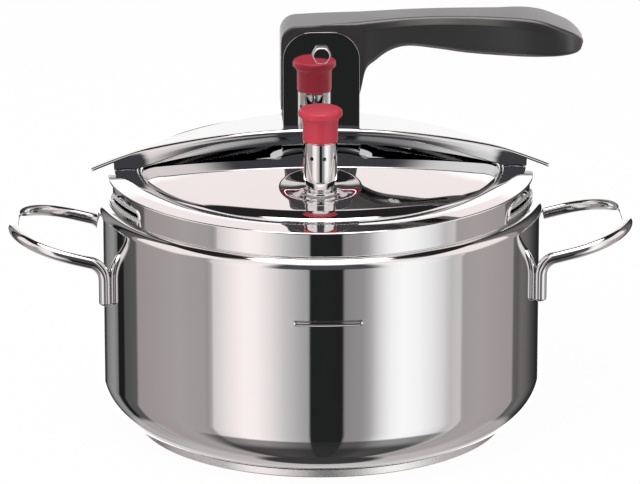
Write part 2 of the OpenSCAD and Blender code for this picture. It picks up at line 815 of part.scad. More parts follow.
// Cross sections of the root and the grip, about the pivot: [distance, underside, top,
// half width and half flat width beyond the root's, depth of the bevel]
root_rows = [for (p = concat(cam_points(cam_relief, root_half_x),
        heel_points(cam_relief, root_half_x)))
    [p[0], p[1], root_top_z(p[0]), 0, -0.6, 0.8 + max(p[0], 0) * 0.19]];
grip_rows = [
    [19.5, -19.2, 14.8, 0, -1.2, 4.6],
    [21.6, -9.9, 15.0, 0, -1.5, 4.5],
    [26, -5.3, 15.3, -0.3, -2.0, 4.3],
    [33.5, 0, 15.8, -0.6, -2.7, 4.0],
    [42, 2.1, 16.3, -0.9, -3.3, 3.7],
    [56, 0.6, 16.7, -1, -3.6, 3.6],
    [70, -1.5, 16.7, -0.7, -3.1, 3.7],
    [85, -2.6, 16.4, 0.5, -2.0, 4.0],
    [99, -3.1, 16.0, 2.2, 0.7, 5.0],
    [108, -3.1, 14.5, 2.8, 1.7, 5.3],
    [116, -2.8, 11.5, 2.8, 2.0, 5.1],
    [122, -2.0, 8.7, 1.6, 1.0, 4.6],
    [126, -0.6, 5.6, -2.0, -2.6, 3.0],
    [127.6, 2.0, 3.6, -6, -6.4, 0.6]];

// A smooth curve through the rows of a table whose first column is the distance.
function row_slope(i) = let (a = grip_rows[max(i - 1, 0)],
        b = grip_rows[min(i + 1, len(grip_rows) - 1)]) (b - a) / (b[0] - a[0]);
function grip_row(i, t) = let (a = grip_rows[i], b = grip_rows[i + 1], h = b[0] - a[0])
    (2 * pow(t, 3) - 3 * pow(t, 2) + 1) * a + (pow(t, 3) - 2 * pow(t, 2) + t) * h * row_slope(i)
    + (3 * pow(t, 2) - 2 * pow(t, 3)) * b + (pow(t, 3) - pow(t, 2)) * h * row_slope(i + 1);
grip_steps = 4;
grip_curve = concat(
    [for (i = [0 : len(grip_rows) - 2], k = [0 : grip_steps - 1]) grip_row(i, k / grip_steps)],
    [grip_rows[len(grip_rows) - 1]]);
grip_root_x = grip_rows[0][0];
grip_scale = (lever_l - root_half_x) / (grip_rows[len(grip_rows) - 1][0] - grip_root_x);
function stretched(row) = [for (k = [0 : 5])
    k == 0 ? root_half_x + (row[0] - grip_root_x) * grip_scale : row[k]];

// One cross section of the lever, as a ring of points in the plane of its distance.
function lever_ring(row) =
    let (low = row[1], top = row[2], w = root_half_w + row[3], flat_w = root_half_w + row[4],
        bevel_z = top - row[5], soft = min(3, (bevel_z - low) * 0.4))
    [for (side = [1, -1], k = [0 : 4])
        let (i = side > 0 ? k : 4 - k,
            y = [w - soft, w - soft * 0.3, w, w, flat_w][i],
            z = [low, low + soft * 0.3, low + soft, bevel_z, top][i])
        [row[0], side * y, z]];

// The steel core's outline, seen from the front: the cam and the bar in the grip.
module core_2d() {
    polygon(concat(cam_points(0, core_half_x), heel_points(0, core_half_x),
        [[core_half_x, core_heel_z], [core_half_x, core_root_top], [-core_half_x, core_root_top]]));
    translate([0, core_bar_z]) square([core_bar_l, core_bar_h]);
}

// The slot in the handle that takes the core from below.
module core_slot() {
    translate([-core_half_x - core_gap, -core_half_w - core_gap, -2 * cam_r])
        cube([core_bar_l + core_half_x + 2 * core_gap, 2 * (core_half_w + core_gap),
            2 * cam_r + core_bar_z + core_bar_h + core_gap]);
}

module about_pivot() {
    translate([0, 0, pivot_z]) children();
}

// Turns an outline into a plate across the lever, half_w to each side.
module across_lever(half_w) {
    translate([0, half_w, 0]) rotate([90, 0, 0]) linear_extrude(2 * half_w) children();
}

module lever_handle() {
    color(black_c) about_pivot() difference() {
        loft([for (row = concat(root_rows, [for (r = grip_curve) stretched(r)]))
            lever_ring(row)]);
        core_slot();
        rotate([90, 0, 0]) translate([0, 0, -big / 2]) cylinder(r = bush_r + fit, h = big);
        for (x = [screw_x1, screw_x2])
            translate([x, 0, core_bar_z]) cylinder(r = screw_d / 2 + fit, h = screw_l);
    }
}

module lever_core() {
    color(aluminium_c) about_pivot() difference() {
        across_lever(core_half_w) core_2d();
        rotate([90, 0, 0]) translate([0, 0, -big / 2]) cylinder(r = bush_r + fit, h = big);
        for (x = [screw_x1, screw_x2])
            translate([x, 0, 0]) cylinder(r = screw_d / 2 + fit, h = big);
    }
}

module lever_screws() {
    color(steel_c) about_pivot() for (x = [screw_x1, screw_x2])
        translate([x, 0, core_bar_z]) difference() {
            union() {
                translate([0, 0, -screw_head_h]) cylinder(r = screw_head_r, h = screw_head_h);
                cylinder(r = screw_d / 2, h = screw_l - fit);
            }
            translate([0, 0, -screw_head_h - 1]) cube([1, 2 * screw_head_r, 3.6], center = true);
        }
}

// ---------------------------------------------------------------- steam valve

module at_valve(z) {
    translate([valve_x, -valve_r, valve_floor_z + z]) children();
}

module valve_base() {
    color(steel_c) at_valve(0) difference() {
        union() {
            translate([0, 0, -lid_sheet - stem_below])
                cylinder(r = stem_r, h = lid_sheet + stem_below + washer_h + eps);
            translate([0, 0, washer_h]) cylinder(r = base_flange_r, h = base_flange_h);
            translate([0, 0, washer_h]) cylinder(r = neck_r, h = base_flange_h + neck_h);
            translate([0, 0, neck_top - neck_bead_drop])
                cylinder(r = neck_r + neck_bead_out, h = neck_bead_h);
            translate([0, 0, neck_top - eps]) cylinder(r = boss_r, h = boss_h + eps);
            translate([0, 0, neck_top + boss_h - eps]) cylinder(r = nozzle_r, h = nozzle_h + eps);
        }
        translate([0, 0, -lid_sheet - stem_below - 1]) cylinder(r = steam_bore_r, h = big);
    }
}

module valve_washer() {
    color(silicone_c) at_valve(0)
        tube_ring(base_flange_r - washer_inset, stem_hole_r, washer_h);
}

module valve_nut() {
    color(steel_c) at_valve(-lid_sheet - valve_nut_h) difference() {
        hex_prism(valve_nut_flats, valve_nut_h);
        translate([0, 0, -1]) cylinder(r = stem_r + fit, h = valve_nut_h + 2);
    }
}

module valve_tube() {
    color(steel_c) at_valve(0) difference() {
        union() {
            translate([0, 0, neck_top])
                cylinder(r1 = tube_r - taper_drop, r2 = tube_r, h = taper_h);
            translate([0, 0, neck_top + taper_h]) cylinder(r = tube_r, h = tube_h - taper_h);
            translate([0, 0, tube_step - eps]) cylinder(r = guide_r, h = guide_overlap + eps);
        }
        translate([0, 0, neck_top - 1]) cylinder(r = boss_r + fit, h = boss_h + 2);
        translate([0, 0, neck_top + boss_h])
            cylinder(r = chamber_r, h = guide_top - guide_h - neck_top - boss_h);
        cylinder(r = plunger_stem_r + fit, h = guide_top + 1);
        for (k = [0 : tube_holes - 1])
            translate([0, 0, neck_top + tube_hole_h])
                rotate([90, 0, (k + tube_hole_turn) * 360 / tube_holes])
                    cylinder(d = tube_hole_d, h = 2 * tube_r, $fn = 32);
    }
}

module valve_spring() {
    color(steel_c) at_valve(plunger_top)
        coil_spring(chamber_r - wire_r - spring_play, guide_top - guide_h - plunger_top,
            valve_spring_turns);
}

module valve_plunger() {
    color(steel_c) at_valve(0) {
        translate([0, 0, seal_bottom + seal_h]) cylinder(r = plunger_r, h = plunger_h);
        translate([0, 0, plunger_top - eps])
            cylinder(r = plunger_stem_r, h = cap_hole_top - fit - plunger_top + eps);
    }
}

module valve_seal() {
    color(silicone_c) at_valve(seal_bottom) cylinder(r = seal_r, h = seal_h);
}

module valve_cap() {
    edge_r = 1.9;
    crown_drop = 0.4;
    edge_x = cap_head_r - edge_r;
    edge_z = cap_top - crown_drop - edge_r;
    crown_r = (pow(edge_x, 2) + pow(crown_drop, 2)) / 2 / crown_drop;
    color(red_c) at_valve(0) difference() {
        rotate_extrude() {
            translate([0, cap_bottom]) square([cap_skirt_r, cap_skirt_h - 0.8]);
            translate([0, cap_head_z - 1]) square([cap_skirt_r - 0.5, 2]);
            polygon([[0, cap_head_z], [cap_skirt_r, cap_head_z], [edge_x + edge_r * cos(20),
                edge_z - edge_r * sin(20)], [edge_x, edge_z], [0, edge_z]]);
            translate([edge_x, edge_z]) circle(r = edge_r);
            translate([0, edge_z - 1]) square([edge_x, edge_r + 1]);
            intersection() {
                translate([0, cap_top - crown_r]) circle(r = crown_r, $fn = large_fn);
                translate([0, cap_head_z]) square([edge_x, cap_head_h]);
            }
        }
        translate([0, 0, cap_bottom - 1])
            cylinder(r = guide_r + seat_gap, h = cap_hollow_top - cap_bottom + 1);
        cylinder(r = plunger_stem_r + fit / 2, h = cap_hole_top);
    }
}

// ---------------------------------------------------------------- safety valve

module at_safety_valve(z) {
    translate([0, safety_r, safety_floor_z + z]) children();
}

module safety_valve_body() {
    color(steel_c) at_safety_valve(0) difference() {
        union() {
            translate([0, 0, -lid_sheet - stem_below])
                cylinder(r = safety_stem_r, h = lid_sheet + stem_below + washer_h + eps);
            translate([0, 0, washer_h]) cylinder(r = base_flange_r, h = base_flange_h);
            translate([0, 0, washer_h])
                cylinder(r = safety_body_r, h = base_flange_h + safety_body_h - safety_roof_h);
        }
        translate([0, 0, -lid_sheet - stem_below - 1]) cylinder(r = safety_bore_r, h = big);
        translate([0, 0, safety_seat]) cylinder(r = safety_chamber_r, h = big);
    }
}

module safety_valve_washer() {
    color(silicone_c) at_safety_valve(0)
        tube_ring(base_flange_r - washer_inset, safety_stem_r + safety_hole_gap, washer_h);
}

module safety_valve_nut() {
    color(steel_c) at_safety_valve(-lid_sheet - valve_nut_h) difference() {
        hex_prism(safety_nut_flats, valve_nut_h);
        translate([0, 0, -1]) cylinder(r = safety_stem_r + fit, h = valve_nut_h + 2);
    }
}

module safety_valve_cap() {
    color(steel_c) at_safety_valve(safety_top - safety_roof_h)
        tube_ring(safety_body_r, safety_pin_r + fit, safety_roof_h);
}

module safety_valve_spring() {
    bottom = safety_seat + fit + safety_disc_h;
    color(steel_c) at_safety_valve(bottom)
        coil_spring(safety_chamber_r - wire_r - spring_play - 0.2,
            safety_top - safety_roof_h - bottom, safety_spring_turns);
}

module safety_valve_pin() {
    bottom = safety_seat + fit;
    color(red_c) at_safety_valve(bottom) {
        cylinder(r = safety_disc_r, h = safety_disc_h);
        cylinder(r = safety_pin_r, h = safety_top - bottom + pin_proud);
    }
}

pot_body();
base_core();
base_cap();
side_handle_left();
side_handle_right();
bridge();
lid();
lid_gasket();
lever_bracket();
pivot_bolt();
pivot_bush();
pivot_washer();
pivot_nut();
lever_handle();
lever_core();
lever_screws();
valve_base();
valve_washer();
valve_nut();
valve_tube();
valve_spring();
valve_plunger();
valve_seal();
valve_cap();
safety_valve_body();
safety_valve_washer();
safety_valve_nut();
safety_valve_cap();
safety_valve_spring();
safety_valve_pin();
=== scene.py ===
import math

import bpy
from mathutils import Matrix, Vector


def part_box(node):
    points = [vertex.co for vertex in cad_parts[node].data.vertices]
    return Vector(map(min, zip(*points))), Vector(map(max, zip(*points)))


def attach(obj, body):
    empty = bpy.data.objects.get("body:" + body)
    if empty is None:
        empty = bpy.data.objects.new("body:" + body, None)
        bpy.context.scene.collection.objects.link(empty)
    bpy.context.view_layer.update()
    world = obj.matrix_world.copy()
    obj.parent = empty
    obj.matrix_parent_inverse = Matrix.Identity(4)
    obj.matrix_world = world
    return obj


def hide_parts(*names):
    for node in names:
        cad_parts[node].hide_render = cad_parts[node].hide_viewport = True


bl_info = {
    "name": "Stovetop pressure cooker",
    "version": (1, 0, 0),
    "blender": (4, 5, 0),
    "location": "View3D > Sidebar > Cooker",
    "description": "Models the pieces of a lever-lid pressure cooker and its studio",
    "category": "Object",
}

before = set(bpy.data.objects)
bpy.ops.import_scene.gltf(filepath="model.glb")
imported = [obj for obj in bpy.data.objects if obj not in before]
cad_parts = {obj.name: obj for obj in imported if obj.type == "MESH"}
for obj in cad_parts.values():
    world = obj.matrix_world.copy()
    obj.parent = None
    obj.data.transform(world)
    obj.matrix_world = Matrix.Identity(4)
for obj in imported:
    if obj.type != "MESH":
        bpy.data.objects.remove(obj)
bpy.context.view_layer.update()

MM = 0.001
DOUBLES = 0.002 * MM


# ------------------------------------------------------------------ sizes

def length(name, description, millimetres):
    """A length property with its default given in millimetres."""
    return bpy.props.FloatProperty(
        name=name, description=description, default=millimetres * MM, unit="LENGTH", precision=4)


def angle(name, description, degrees):
    """An angle property with its default given in degrees."""
    return bpy.props.FloatProperty(
        name=name, description=description, default=math.radians(degrees), unit="ROTATION")


def colour(name, description, rgb):
    """A colour property."""
    return bpy.props.FloatVectorProperty(
        name=name, description=description, default=rgb, subtype="COLOR", min=0, max=1)


def share(name, description, value):
    """A property between nothing and all."""
    return bpy.props.FloatProperty(
        name=name, description=description, default=value, min=0, max=1, subtype="FACTOR")


def node_middle(node):
    """The middle of a CAD node's box."""
    low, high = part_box(node)
    return (low + high) / 2


FLOOR_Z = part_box("base_cap")[0].z
PIVOT_Z = node_middle("pivot_bush").z
STEAM_VALVE = node_middle("valve_cap")
SAFETY_VALVE = node_middle("safety_valve_cap")


class PotSizes(bpy.types.PropertyGroup):
    """Sizes of the pot, its rim and its base."""
    wall_r: length("Wall radius", "Outer radius of the straight wall", 109.5)
    sheet: length("Sheet", "Thickness of the steel sheet", 0.9)
    floor_z: length("Floor height", "Height of the floor's underside", 4)
    corner_r: length("Floor corner", "Radius of the curve between floor and wall", 24)
    wall_rings: bpy.props.FloatVectorProperty(
        name="Wall rings", description="Heights of the rings of edges round the level mark",
        default=(81 * MM, 82.4 * MM, 86.6 * MM, 88 * MM), size=4, unit="LENGTH")
    shoulder_z: length("Shoulder height", "Height of the shoulder's top", 115.6)
    shoulder_r: length("Shoulder radius", "Radius of the curve above the wall", 5)
    groove_r: length("Groove radius", "Radius of the groove under the collar", 104.1)
    groove_h: length("Groove height", "Height of the groove's straight part", 0.25)
    groove_slope_h: length("Groove slope", "Height over which the groove runs out", 0.35)
    collar_r: length("Collar radius", "Outer radius of the collar", 104.6)
    collar_z: length("Collar height", "Height of the corner above the collar", 127.85)
    corner_h: length("Collar corner", "Radius of the corner above the collar", 0.9)
    rim_x: length("Rim radius", "Distance of the rim's bend from the middle", 96.8)
    rim_z: length("Rim height", "Height of the rim's bend", 129.3)
    rim_r: length("Rim curve", "Radius of the rim's bend", 20)
    opening_r: length("Opening radius", "Radius of the opening in the rim", 89.1)
    hem_w: length("Hem width", "Width of the folded edge at the opening", 3.4)
    rim_slope: angle("Rim slope", "Rise of the rim towards the opening", -2.5)
    base_r: length("Base radius", "Radius of the thick base", 91)
    base_sheet: length("Base sheet", "Thickness of the base's steel cap", 0.8)


class PressingSizes(bpy.types.PropertyGroup):
    """Sizes of the collar's windows and of the level mark in the wall."""
    window_angle: angle("Window angle", "Angle of a window from the front or back", 67.75)
    window_z: length("Window height", "Height of a window's middle", 121)
    window_l: length("Window length", "Length of a window's raised edge", 37)
    window_h: length("Window width", "Height of a window's raised edge", 6.6)
    slot_h: length("Slot width", "Height of a window's slot", 3.2)
    lip: length("Lip", "How far a window's edge stands out", 0.6)
    mark_z: length("Mark height", "Height of the level mark", 84.5)
    mark_l: length("Mark length", "Length of the level mark", 33.4)
    mark_h: length("Mark width", "Height of the level mark's groove", 3)
    mark_depth: length("Mark depth", "Depth of the level mark's groove", 0.6)


class HandleSizes(bpy.types.PropertyGroup):
    """Sizes of the two bent rod handles."""
    rod_r: length("Rod radius", "Radius of the rod", 3)
    leg_x: length("Leg distance", "Distance of the legs from the middle, along X", 106.06)
    leg_y: length("Leg spread", "Distance of a leg from the handle's middle", 36)
    foot_z: length("Leg foot", "Height of the legs' lower ends", 70.4)
    bend_z: length("Bend height", "Height at which a leg starts to bend", 83.6)
    bend_r: length("Bend radius", "Radius of the bend", 9)
    rise: angle("Rise", "Rise of the loop away from the pot", 14)
    loop_l: length("Loop length", "Length of the loop beyond the bend", 38.64)
    corner_r: length("Corner radius", "Radius of the loop's corners", 30)
    end_r: length("End rounding", "Rounding of the rod's ends", 1.8)


class BridgeSizes(bpy.types.PropertyGroup):
    """Sizes of the sheet bridge across the rim."""
    top_z: length("Top", "Height of the bridge's crown", 152.704)
    arch_r: length("Arch radius", "Radius of the arch", 284.7)
    half_w: length("Half width", "Half of the width at the middle", 16.2)
    side_r: length("Side radius", "Radius of the curved sides in plan", 297)
    sheet: length("Sheet", "Thickness of the sheet", 1.5)
    bend_r: length("Bend radius", "Outer radius of the bend into the flange", 2.1)
    flange_h: length("Flange depth", "Depth of the flange at the middle", 7.2)
    flange_r: length("Flange radius", "Radius of the flange's lower edge", 258)
    tongue_w: length("Tongue half width", "Half of the width of the end tongues", 2.8)
    tongue_x: length("Tongue reach", "Distance of the tongues' tips from the middle", 112)
    side_blend: length("Side blend", "Softness of the bend from the sides to the tongues", 1.5)
    foot_x: length("Foot reach", "Distance at which the flanges end", 101)
    slot_x: length("Slot half length", "Half of the length of the cheeks' slots", 18.9)
    slot_y: length("Slot distance", "Distance of the slots from the middle", 13.2)
    slot_w: length("Slot width", "Width of the slots", 2.6)
    gap: length("Gap", "Clearance of the flanges above the lid and the rim", 0.5)


class LidSizes(bpy.types.PropertyGroup):
    """Sizes of the pressed lid."""
    sheet: length("Sheet", "Thickness of the steel sheet", 1)
    crown_z: length("Crown", "Height of the dome's top", 143.185)
    dome_r: length("Dome radius", "Radius of the dome", 330)
    edge_x: length("Edge radius", "Radius beyond which the dome curves down faster", 80.5)
    edge_curve: length("Edge curve", "Radius of the curve beyond that", 30)
    dome_end: length("Dome end", "Radius at which the dome ends above the wall", 86.7)
    dome_drop: length("Dome drop", "How far the dome lies below the crown's seat", 1.4)
    wall_r: length("Wall radius", "Radius of the lid's short wall", 88.6)
    roll_r: length("Roll radius", "Radius of the roll from dome to wall", 3.4)
    flange_r: length("Flange radius", "Radius of the edge under the rim", 97.5)
    flange_z: length("Flange height", "Height of the edge under the rim", 125.085)
    seat_drop: length("Seat drop", "How far the flat seat lies below the crown", 0.2)
    seat_r: length("Seat radius", "Radius of the flat seat under the bracket", 12)
    seat_blend: length("Seat blend", "Width over which the seat runs out into the dome", 20)
    dish_y: length("Dish distance", "Distance of the two dishes from the middle", 57)
    dish_r: length("Dish radius", "Radius of a dish", 19.65)
    dish_z: length("Dish height", "Height of a dish's flat floor", 133.307)
    dish_power: bpy.props.FloatProperty(
        name="Dish curve", description="Power of the curve from a dish's floor to its lip",
        default=1.7)
    dish_floor_r: length("Dish floor", "Radius of a dish's flat floor", 9.5)
    dish_lip: share("Dish lip", "Softness of a dish's edge", 0.07)


class LeverSizes(bpy.types.PropertyGroup):
    """Sizes of the cam lever's moulded handle, about its pivot."""
    cam_r: length("Cam radius", "Radius of the cam at its highest point", 37.1)
    cam_fall: length("Cam fall", "Fall of the cam's radius over a quarter turn", 4)
    relief: length("Relief", "How far the steel core stands proud of the moulding", 0.5)
    half_w: length("Half width", "Half of the width at the root", 11.8)
    root_x: length("Root half length", "Half of the root's length", 19.5)
    root_top: length("Root top", "Height of the root's top above the pivot", 13.3)
    root_corner: length("Root corner", "Radius of the corner at the root's top", 8)
    core_w: length("Core slot", "Half of the width of the core's slot", 4.1)
    core_x: length("Core slot root", "Reach of the core's slot beyond the pivot", 15.1)
    core_l: length("Core slot length", "Reach of the core's slot along the grip", 86.1)
    core_z: length("Core slot roof", "Height of the core slot's roof above the pivot", 10)
    bush_r: length("Bush hole", "Radius of the hole for the bush", 4.05)


class ValveSizes(bpy.types.PropertyGroup):
    """Sizes of the steam valve, with heights from the floor of its dish."""
    flange_r: length("Flange radius", "Radius of the base's flange", 8.15)
    flange_z: length("Flange top", "Height of the flange's top", 1.7)
    washer_h: length("Washer", "Thickness of the washer under the flange", 0.5)
    neck_r: length("Neck radius", "Radius of the neck", 5.8)
    neck_z: length("Neck top", "Height of the neck's top", 3.4)
    stem_r: length("Stem radius", "Radius of the stem through the lid", 4.9)
    stem_z: length("Stem foot", "How far the stem reaches below the floor", 8)
    bore_r: length("Bore radius", "Radius of the steam bore", 1.8)
    boss_r: length("Boss radius", "Radius of the boss inside the tube", 4.8)
    boss_h: length("Boss height", "Height of the boss above the neck", 3.6)
    tube_r: length("Tube radius", "Outer radius of the tube", 8.05)
    taper: length("Tube taper", "How much narrower the tube's foot is", 1.3)
    taper_h: length("Taper height", "Height of the tube's tapered foot", 3.6)
    step_z: length("Tube step", "Height of the tube's step into the cap", 26)
    step_w: length("Step width", "Width of the tube's step", 0.85)
    guide_z: length("Guide top", "Height of the tube's top, inside the cap", 32.7)
    tube_wall: length("Tube wall", "Thickness of the tube's wall", 1.75)
    hole_r: length("Hole radius", "Radius of the holes around the tube", 1)
    hole_z: length("Hole height", "Height of the holes around the tube", 19)
    holes: bpy.props.IntProperty(name="Holes", description="Holes around the tube", default=8)
    hole_phase: share("Hole phase", "Turn of the first hole from the front towards the next",
                      0.27)
    cap_z: length("Cap foot", "Height of the cap's lower edge", 26.5)
    cap_top: length("Cap top", "Height of the cap's top", 42.3)
    skirt_r: length("Skirt radius", "Radius of the cap's skirt", 8.5)
    skirt_h: length("Skirt height", "Height of the cap's skirt", 10)
    hollow_h: length("Hollow height", "Height of the hollow in the cap", 10.8)
    head_r: length("Head radius", "Radius of the cap's head", 10.6)
    head_edge: length("Head edge", "Rounding of the head's edge", 1.9)
    crown_drop: length("Head crown", "How much the head's top is domed", 0.4)


class Finishes(bpy.types.PropertyGroup):
    """Colours and polish of the materials."""
    steel: colour("Steel", "Colour of the polished steel", (0.78, 0.78, 0.78))
    steel_rough: share("Steel roughness", "Roughness of the polished steel", 0.012)
    brushed: colour("Brushed steel", "Colour of the base's brushed steel", (1.0, 0.98, 0.98))
    satin: colour("Satin steel", "Colour of the satin steel", (0.62, 0.61, 0.60))
    aluminium: colour("Aluminium", "Colour of the aluminium core", (0.70, 0.70, 0.71))
    black: colour("Black", "Colour of the moulded handle", (0.014, 0.0135, 0.014))
    black_rough: share("Black roughness", "Roughness of the moulded handle", 0.36)
    red: colour("Red", "Colour of the valve's cap", (0.56, 0.032, 0.062))
    red_rough: share("Red roughness", "Roughness of the valve's cap", 0.38)
    silicone: colour("Silicone", "Colour of the gasket", (0.62, 0.62, 0.60))


class StudioSizes(bpy.types.PropertyGroup):
    """The camera, the floor and the lights."""
    target_z: length("Target height", "Height that the camera looks at", 90.03)
    distance: length("Distance", "Distance of the camera from its target", 2795.7)
    elevation: angle("Elevation", "Angle of the camera above the floor", 17.855)
    azimuth: angle("Azimuth", "Angle of the camera from the front", -2)
    lens: bpy.props.FloatProperty(
        name="Lens", description="Focal length in millimetres", default=319.8, unit="CAMERA")
    shift_x: bpy.props.FloatProperty(name="Shift", description="Sideways shift", default=-0.00055)
    floor_size: length("Floor", "Width of the floor", 9000)
    floor_white: share("Floor white", "How much of the floor is pure background", 0.97)
    floor_colour: colour("Floor colour", "Colour of the floor", (0.86, 0.86, 0.86))
    soft_box: bpy.props.FloatProperty(
        name="Soft box", description="Strength of the soft box overhead", default=6)
    fill: share("Fill light", "Strength of the light from all round", 0.62)
    key_power: bpy.props.FloatProperty(
        name="Key light", description="Power of the lamp above", default=26, unit="POWER")
    key_size: length("Key size", "Width of the lamp above", 1400)


GROUPS = {
    "cooker_pot": PotSizes,
    "cooker_pressings": PressingSizes,
    "cooker_handles": HandleSizes,
    "cooker_bridge": BridgeSizes,
    "cooker_lid": LidSizes,
    "cooker_lever": LeverSizes,
    "cooker_valve": ValveSizes,
    "cooker_finishes": Finishes,
    "cooker_studio": StudioSizes,
}


# ------------------------------------------------------------------ modelling tools

def deselect_all():
    """Leaves edit mode and deselects every object."""
    if bpy.context.object and bpy.context.object.mode != "OBJECT":
        bpy.ops.object.mode_set(mode="OBJECT")
    bpy.ops.object.select_all(action="DESELECT")


def select_only(piece):
    """Makes a piece the one selected and active object."""
    deselect_all()
    piece.select_set(True)
    bpy.context.view_layer.objects.active = piece


def edit(piece, action="SELECT"):
    """Opens a piece in edit mode, with all of it selected or nothing."""
    select_only(piece)
    bpy.ops.object.mode_set(mode="EDIT")
    bpy.ops.mesh.select_all(action=action)


def leave_edit():
    """Takes up the changes that were made in edit mode."""
    bpy.ops.object.mode_set(mode="OBJECT")


def modify(piece, kind, **settings):
    """Adds a modifier to a piece and applies it."""
    select_only(piece)
    modifier = piece.modifiers.new(kind.lower(), kind)
    for setting, value in settings.items():
        setattr(modifier, setting, value)
    bpy.ops.object.modifier_apply(modifier=modifier.name)


def round_edges(piece, width, segments, degrees):
    """Rounds the edges of a piece that are sharper than an angle."""
    modify(piece, "BEVEL", width=width, segments=segments, limit_method="ANGLE",
           angle_limit=math.radians(degrees))


def thicken(piece, sheet):
    """Gives a skin the thickness of its sheet, inwards."""
    modify(piece, "SOLIDIFY", thickness=sheet, offset=-1, use_even_offset=True)


def cut(piece, cutter):
    """Cuts one piece out of another."""
    modify(piece, "BOOLEAN", object=cutter, operation="DIFFERENCE", solver="EXACT")
    bpy.data.objects.remove(cutter)


def joined(name, pieces):
    """Joins pieces into the first of them."""
    deselect_all()
    for piece in pieces:
        piece.select_set(True)
    bpy.context.view_layer.objects.active = pieces[0]
    bpy.ops.object.join()
    pieces[0].name = name
    return pieces[0]


def tidy_mesh(piece):
    """Merges doubled points and turns the faces outwards."""
    edit(piece)
    bpy.ops.mesh.remove_doubles(threshold=DOUBLES)
    bpy.ops.mesh.normals_make_consistent(inside=False)
    leave_edit()


def face_outwards(piece, inside, face=None):
    """Flips an open skin where a face of it looks towards a point inside it."""
    face = face or piece.data.polygons[0]
    if (face.center - Vector(inside)).dot(face.normal) < 0:
        edit(piece)
        bpy.ops.mesh.flip_normals()
        leave_edit()


def coat(piece, look):
    """Gives a piece one of the finishes as its only material."""
    piece.data.materials.clear()
    piece.data.materials.append(material_of(look))


def smooth(piece, degrees):
    """Shades a piece smooth up to an angle, with flat faces kept flat."""
    select_only(piece)
    bpy.ops.object.shade_smooth_by_angle(angle=math.radians(degrees))
    modify(piece, "WEIGHTED_NORMAL", keep_sharp=True)


def finish(piece, body, look, replaces=(), degrees=38):
    """Smooths a piece, gives it its finish and puts it on its body."""
    smooth(piece, degrees)
    coat(piece, look)
    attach(piece, body)
    if replaces:
        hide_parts(*replaces)


def rounded(corners, count=None, step=math.radians(6)):
    """Points along a line of (x, z, radius) corners, each corner turned into an arc."""
    points = []
    for i, (x, z, radius) in enumerate(corners):
        here = Vector((x, z))
        if not radius or i in (0, len(corners) - 1):
            points.append(here)
            continue
        back = (Vector(corners[i - 1][:2]) - here).normalized()
        ahead = (Vector(corners[i + 1][:2]) - here).normalized()
        half = back.angle(ahead) / 2
        centre = here + (back + ahead).normalized() * (radius / math.sin(half))
        start = here + back * (radius / math.tan(half)) - centre
        end = here + ahead * (radius / math.tan(half)) - centre
        turn = math.atan2(start.x * end.y - start.y * end.x, start.dot(end))
        steps = count or max(2, math.ceil(abs(turn) / step))
        points += [centre + Matrix.Rotation(turn * k / steps, 2) @ start
                   for k in range(steps + 1)]
    return points


def turned(name, points, steps=96, centre=(0, 0)):
    """Spins an outline of (radius, height) points about an upright axis."""
    deselect_all()
    x, y = centre
    bpy.ops.mesh.primitive_plane_add(size=MM, location=(x + points[0][0], y, points[0][1]))
    piece = bpy.context.object
    piece.name = name
    bpy.ops.object.mode_set(mode="EDIT")
    bpy.ops.mesh.merge(type="CENTER")
    for before, after in zip(points, points[1:]):
        move = (after[0] - before[0], 0, after[1] - before[1])
        bpy.ops.mesh.extrude_region_move(TRANSFORM_OT_translate={"value": move})
    bpy.ops.mesh.select_all(action="SELECT")
    bpy.ops.mesh.spin(steps=steps, angle=math.tau, center=(x, y, 0), axis=(0, 0, 1))
    leave_edit()
    bpy.ops.object.transform_apply(location=True, rotation=False, scale=False)
    tidy_mesh(piece)
    return piece


def lofted(name, rings, capped=True, closed=True):
    """A skin over rings that have the same number of points."""
    count = len(rings[0])
    around = range(count if closed else count - 1)
    faces = [(i * count + j, i * count + (j + 1) % count,
              (i + 1) * count + (j + 1) % count, (i + 1) * count + j)
             for i in range(len(rings) - 1) for j in around]
    if capped:
        faces += [tuple(range(count)), tuple(range(len(rings) * count - count, len(rings) * count))]
    mesh = bpy.data.meshes.new(name)
    mesh.from_pydata([point for ring in rings for point in ring], [], faces)
    piece = bpy.data.objects.new(name, mesh)
    bpy.context.scene.collection.objects.link(piece)
    return piece


def block(name, low, high):
    """A box between two corners, for cutting."""
    deselect_all()
    low, high = Vector(low), Vector(high)
    bpy.ops.mesh.primitive_cube_add(size=1, location=(low + high) / 2)
    piece = bpy.context.object
    piece.name = name
    piece.scale = high - low
    bpy.ops.object.transform_apply()
    return piece


def pin(name, centre, direction, radius, depth, vertices=48):
    """A round pin about a point, for cutting."""
    deselect_all()
    turn = Vector((0, 0, 1)).rotation_difference(Vector(direction)).to_euler()
    bpy.ops.mesh.primitive_cylinder_add(
        vertices=vertices, radius=radius, depth=depth, location=centre, rotation=turn)
    piece = bpy.context.object
    piece.name = name
    bpy.ops.object.transform_apply()
    return piece


def softened(name, node, bevel):
    """A copy of a CAD node with its flats made whole and its edges rounded."""
    piece = bpy.data.objects.new(name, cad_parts[node].data.copy())
    bpy.context.scene.collection.objects.link(piece)
    select_only(piece)
    bpy.ops.mesh.customdata_custom_splitnormals_clear()
    edit(piece)
    bpy.ops.mesh.remove_doubles(threshold=DOUBLES)
    bpy.ops.mesh.dissolve_limited(angle_limit=math.radians(0.5))
    leave_edit()
    round_edges(piece, bevel, segments=3, degrees=40)
    return piece


# ------------------------------------------------------------------ shader tools

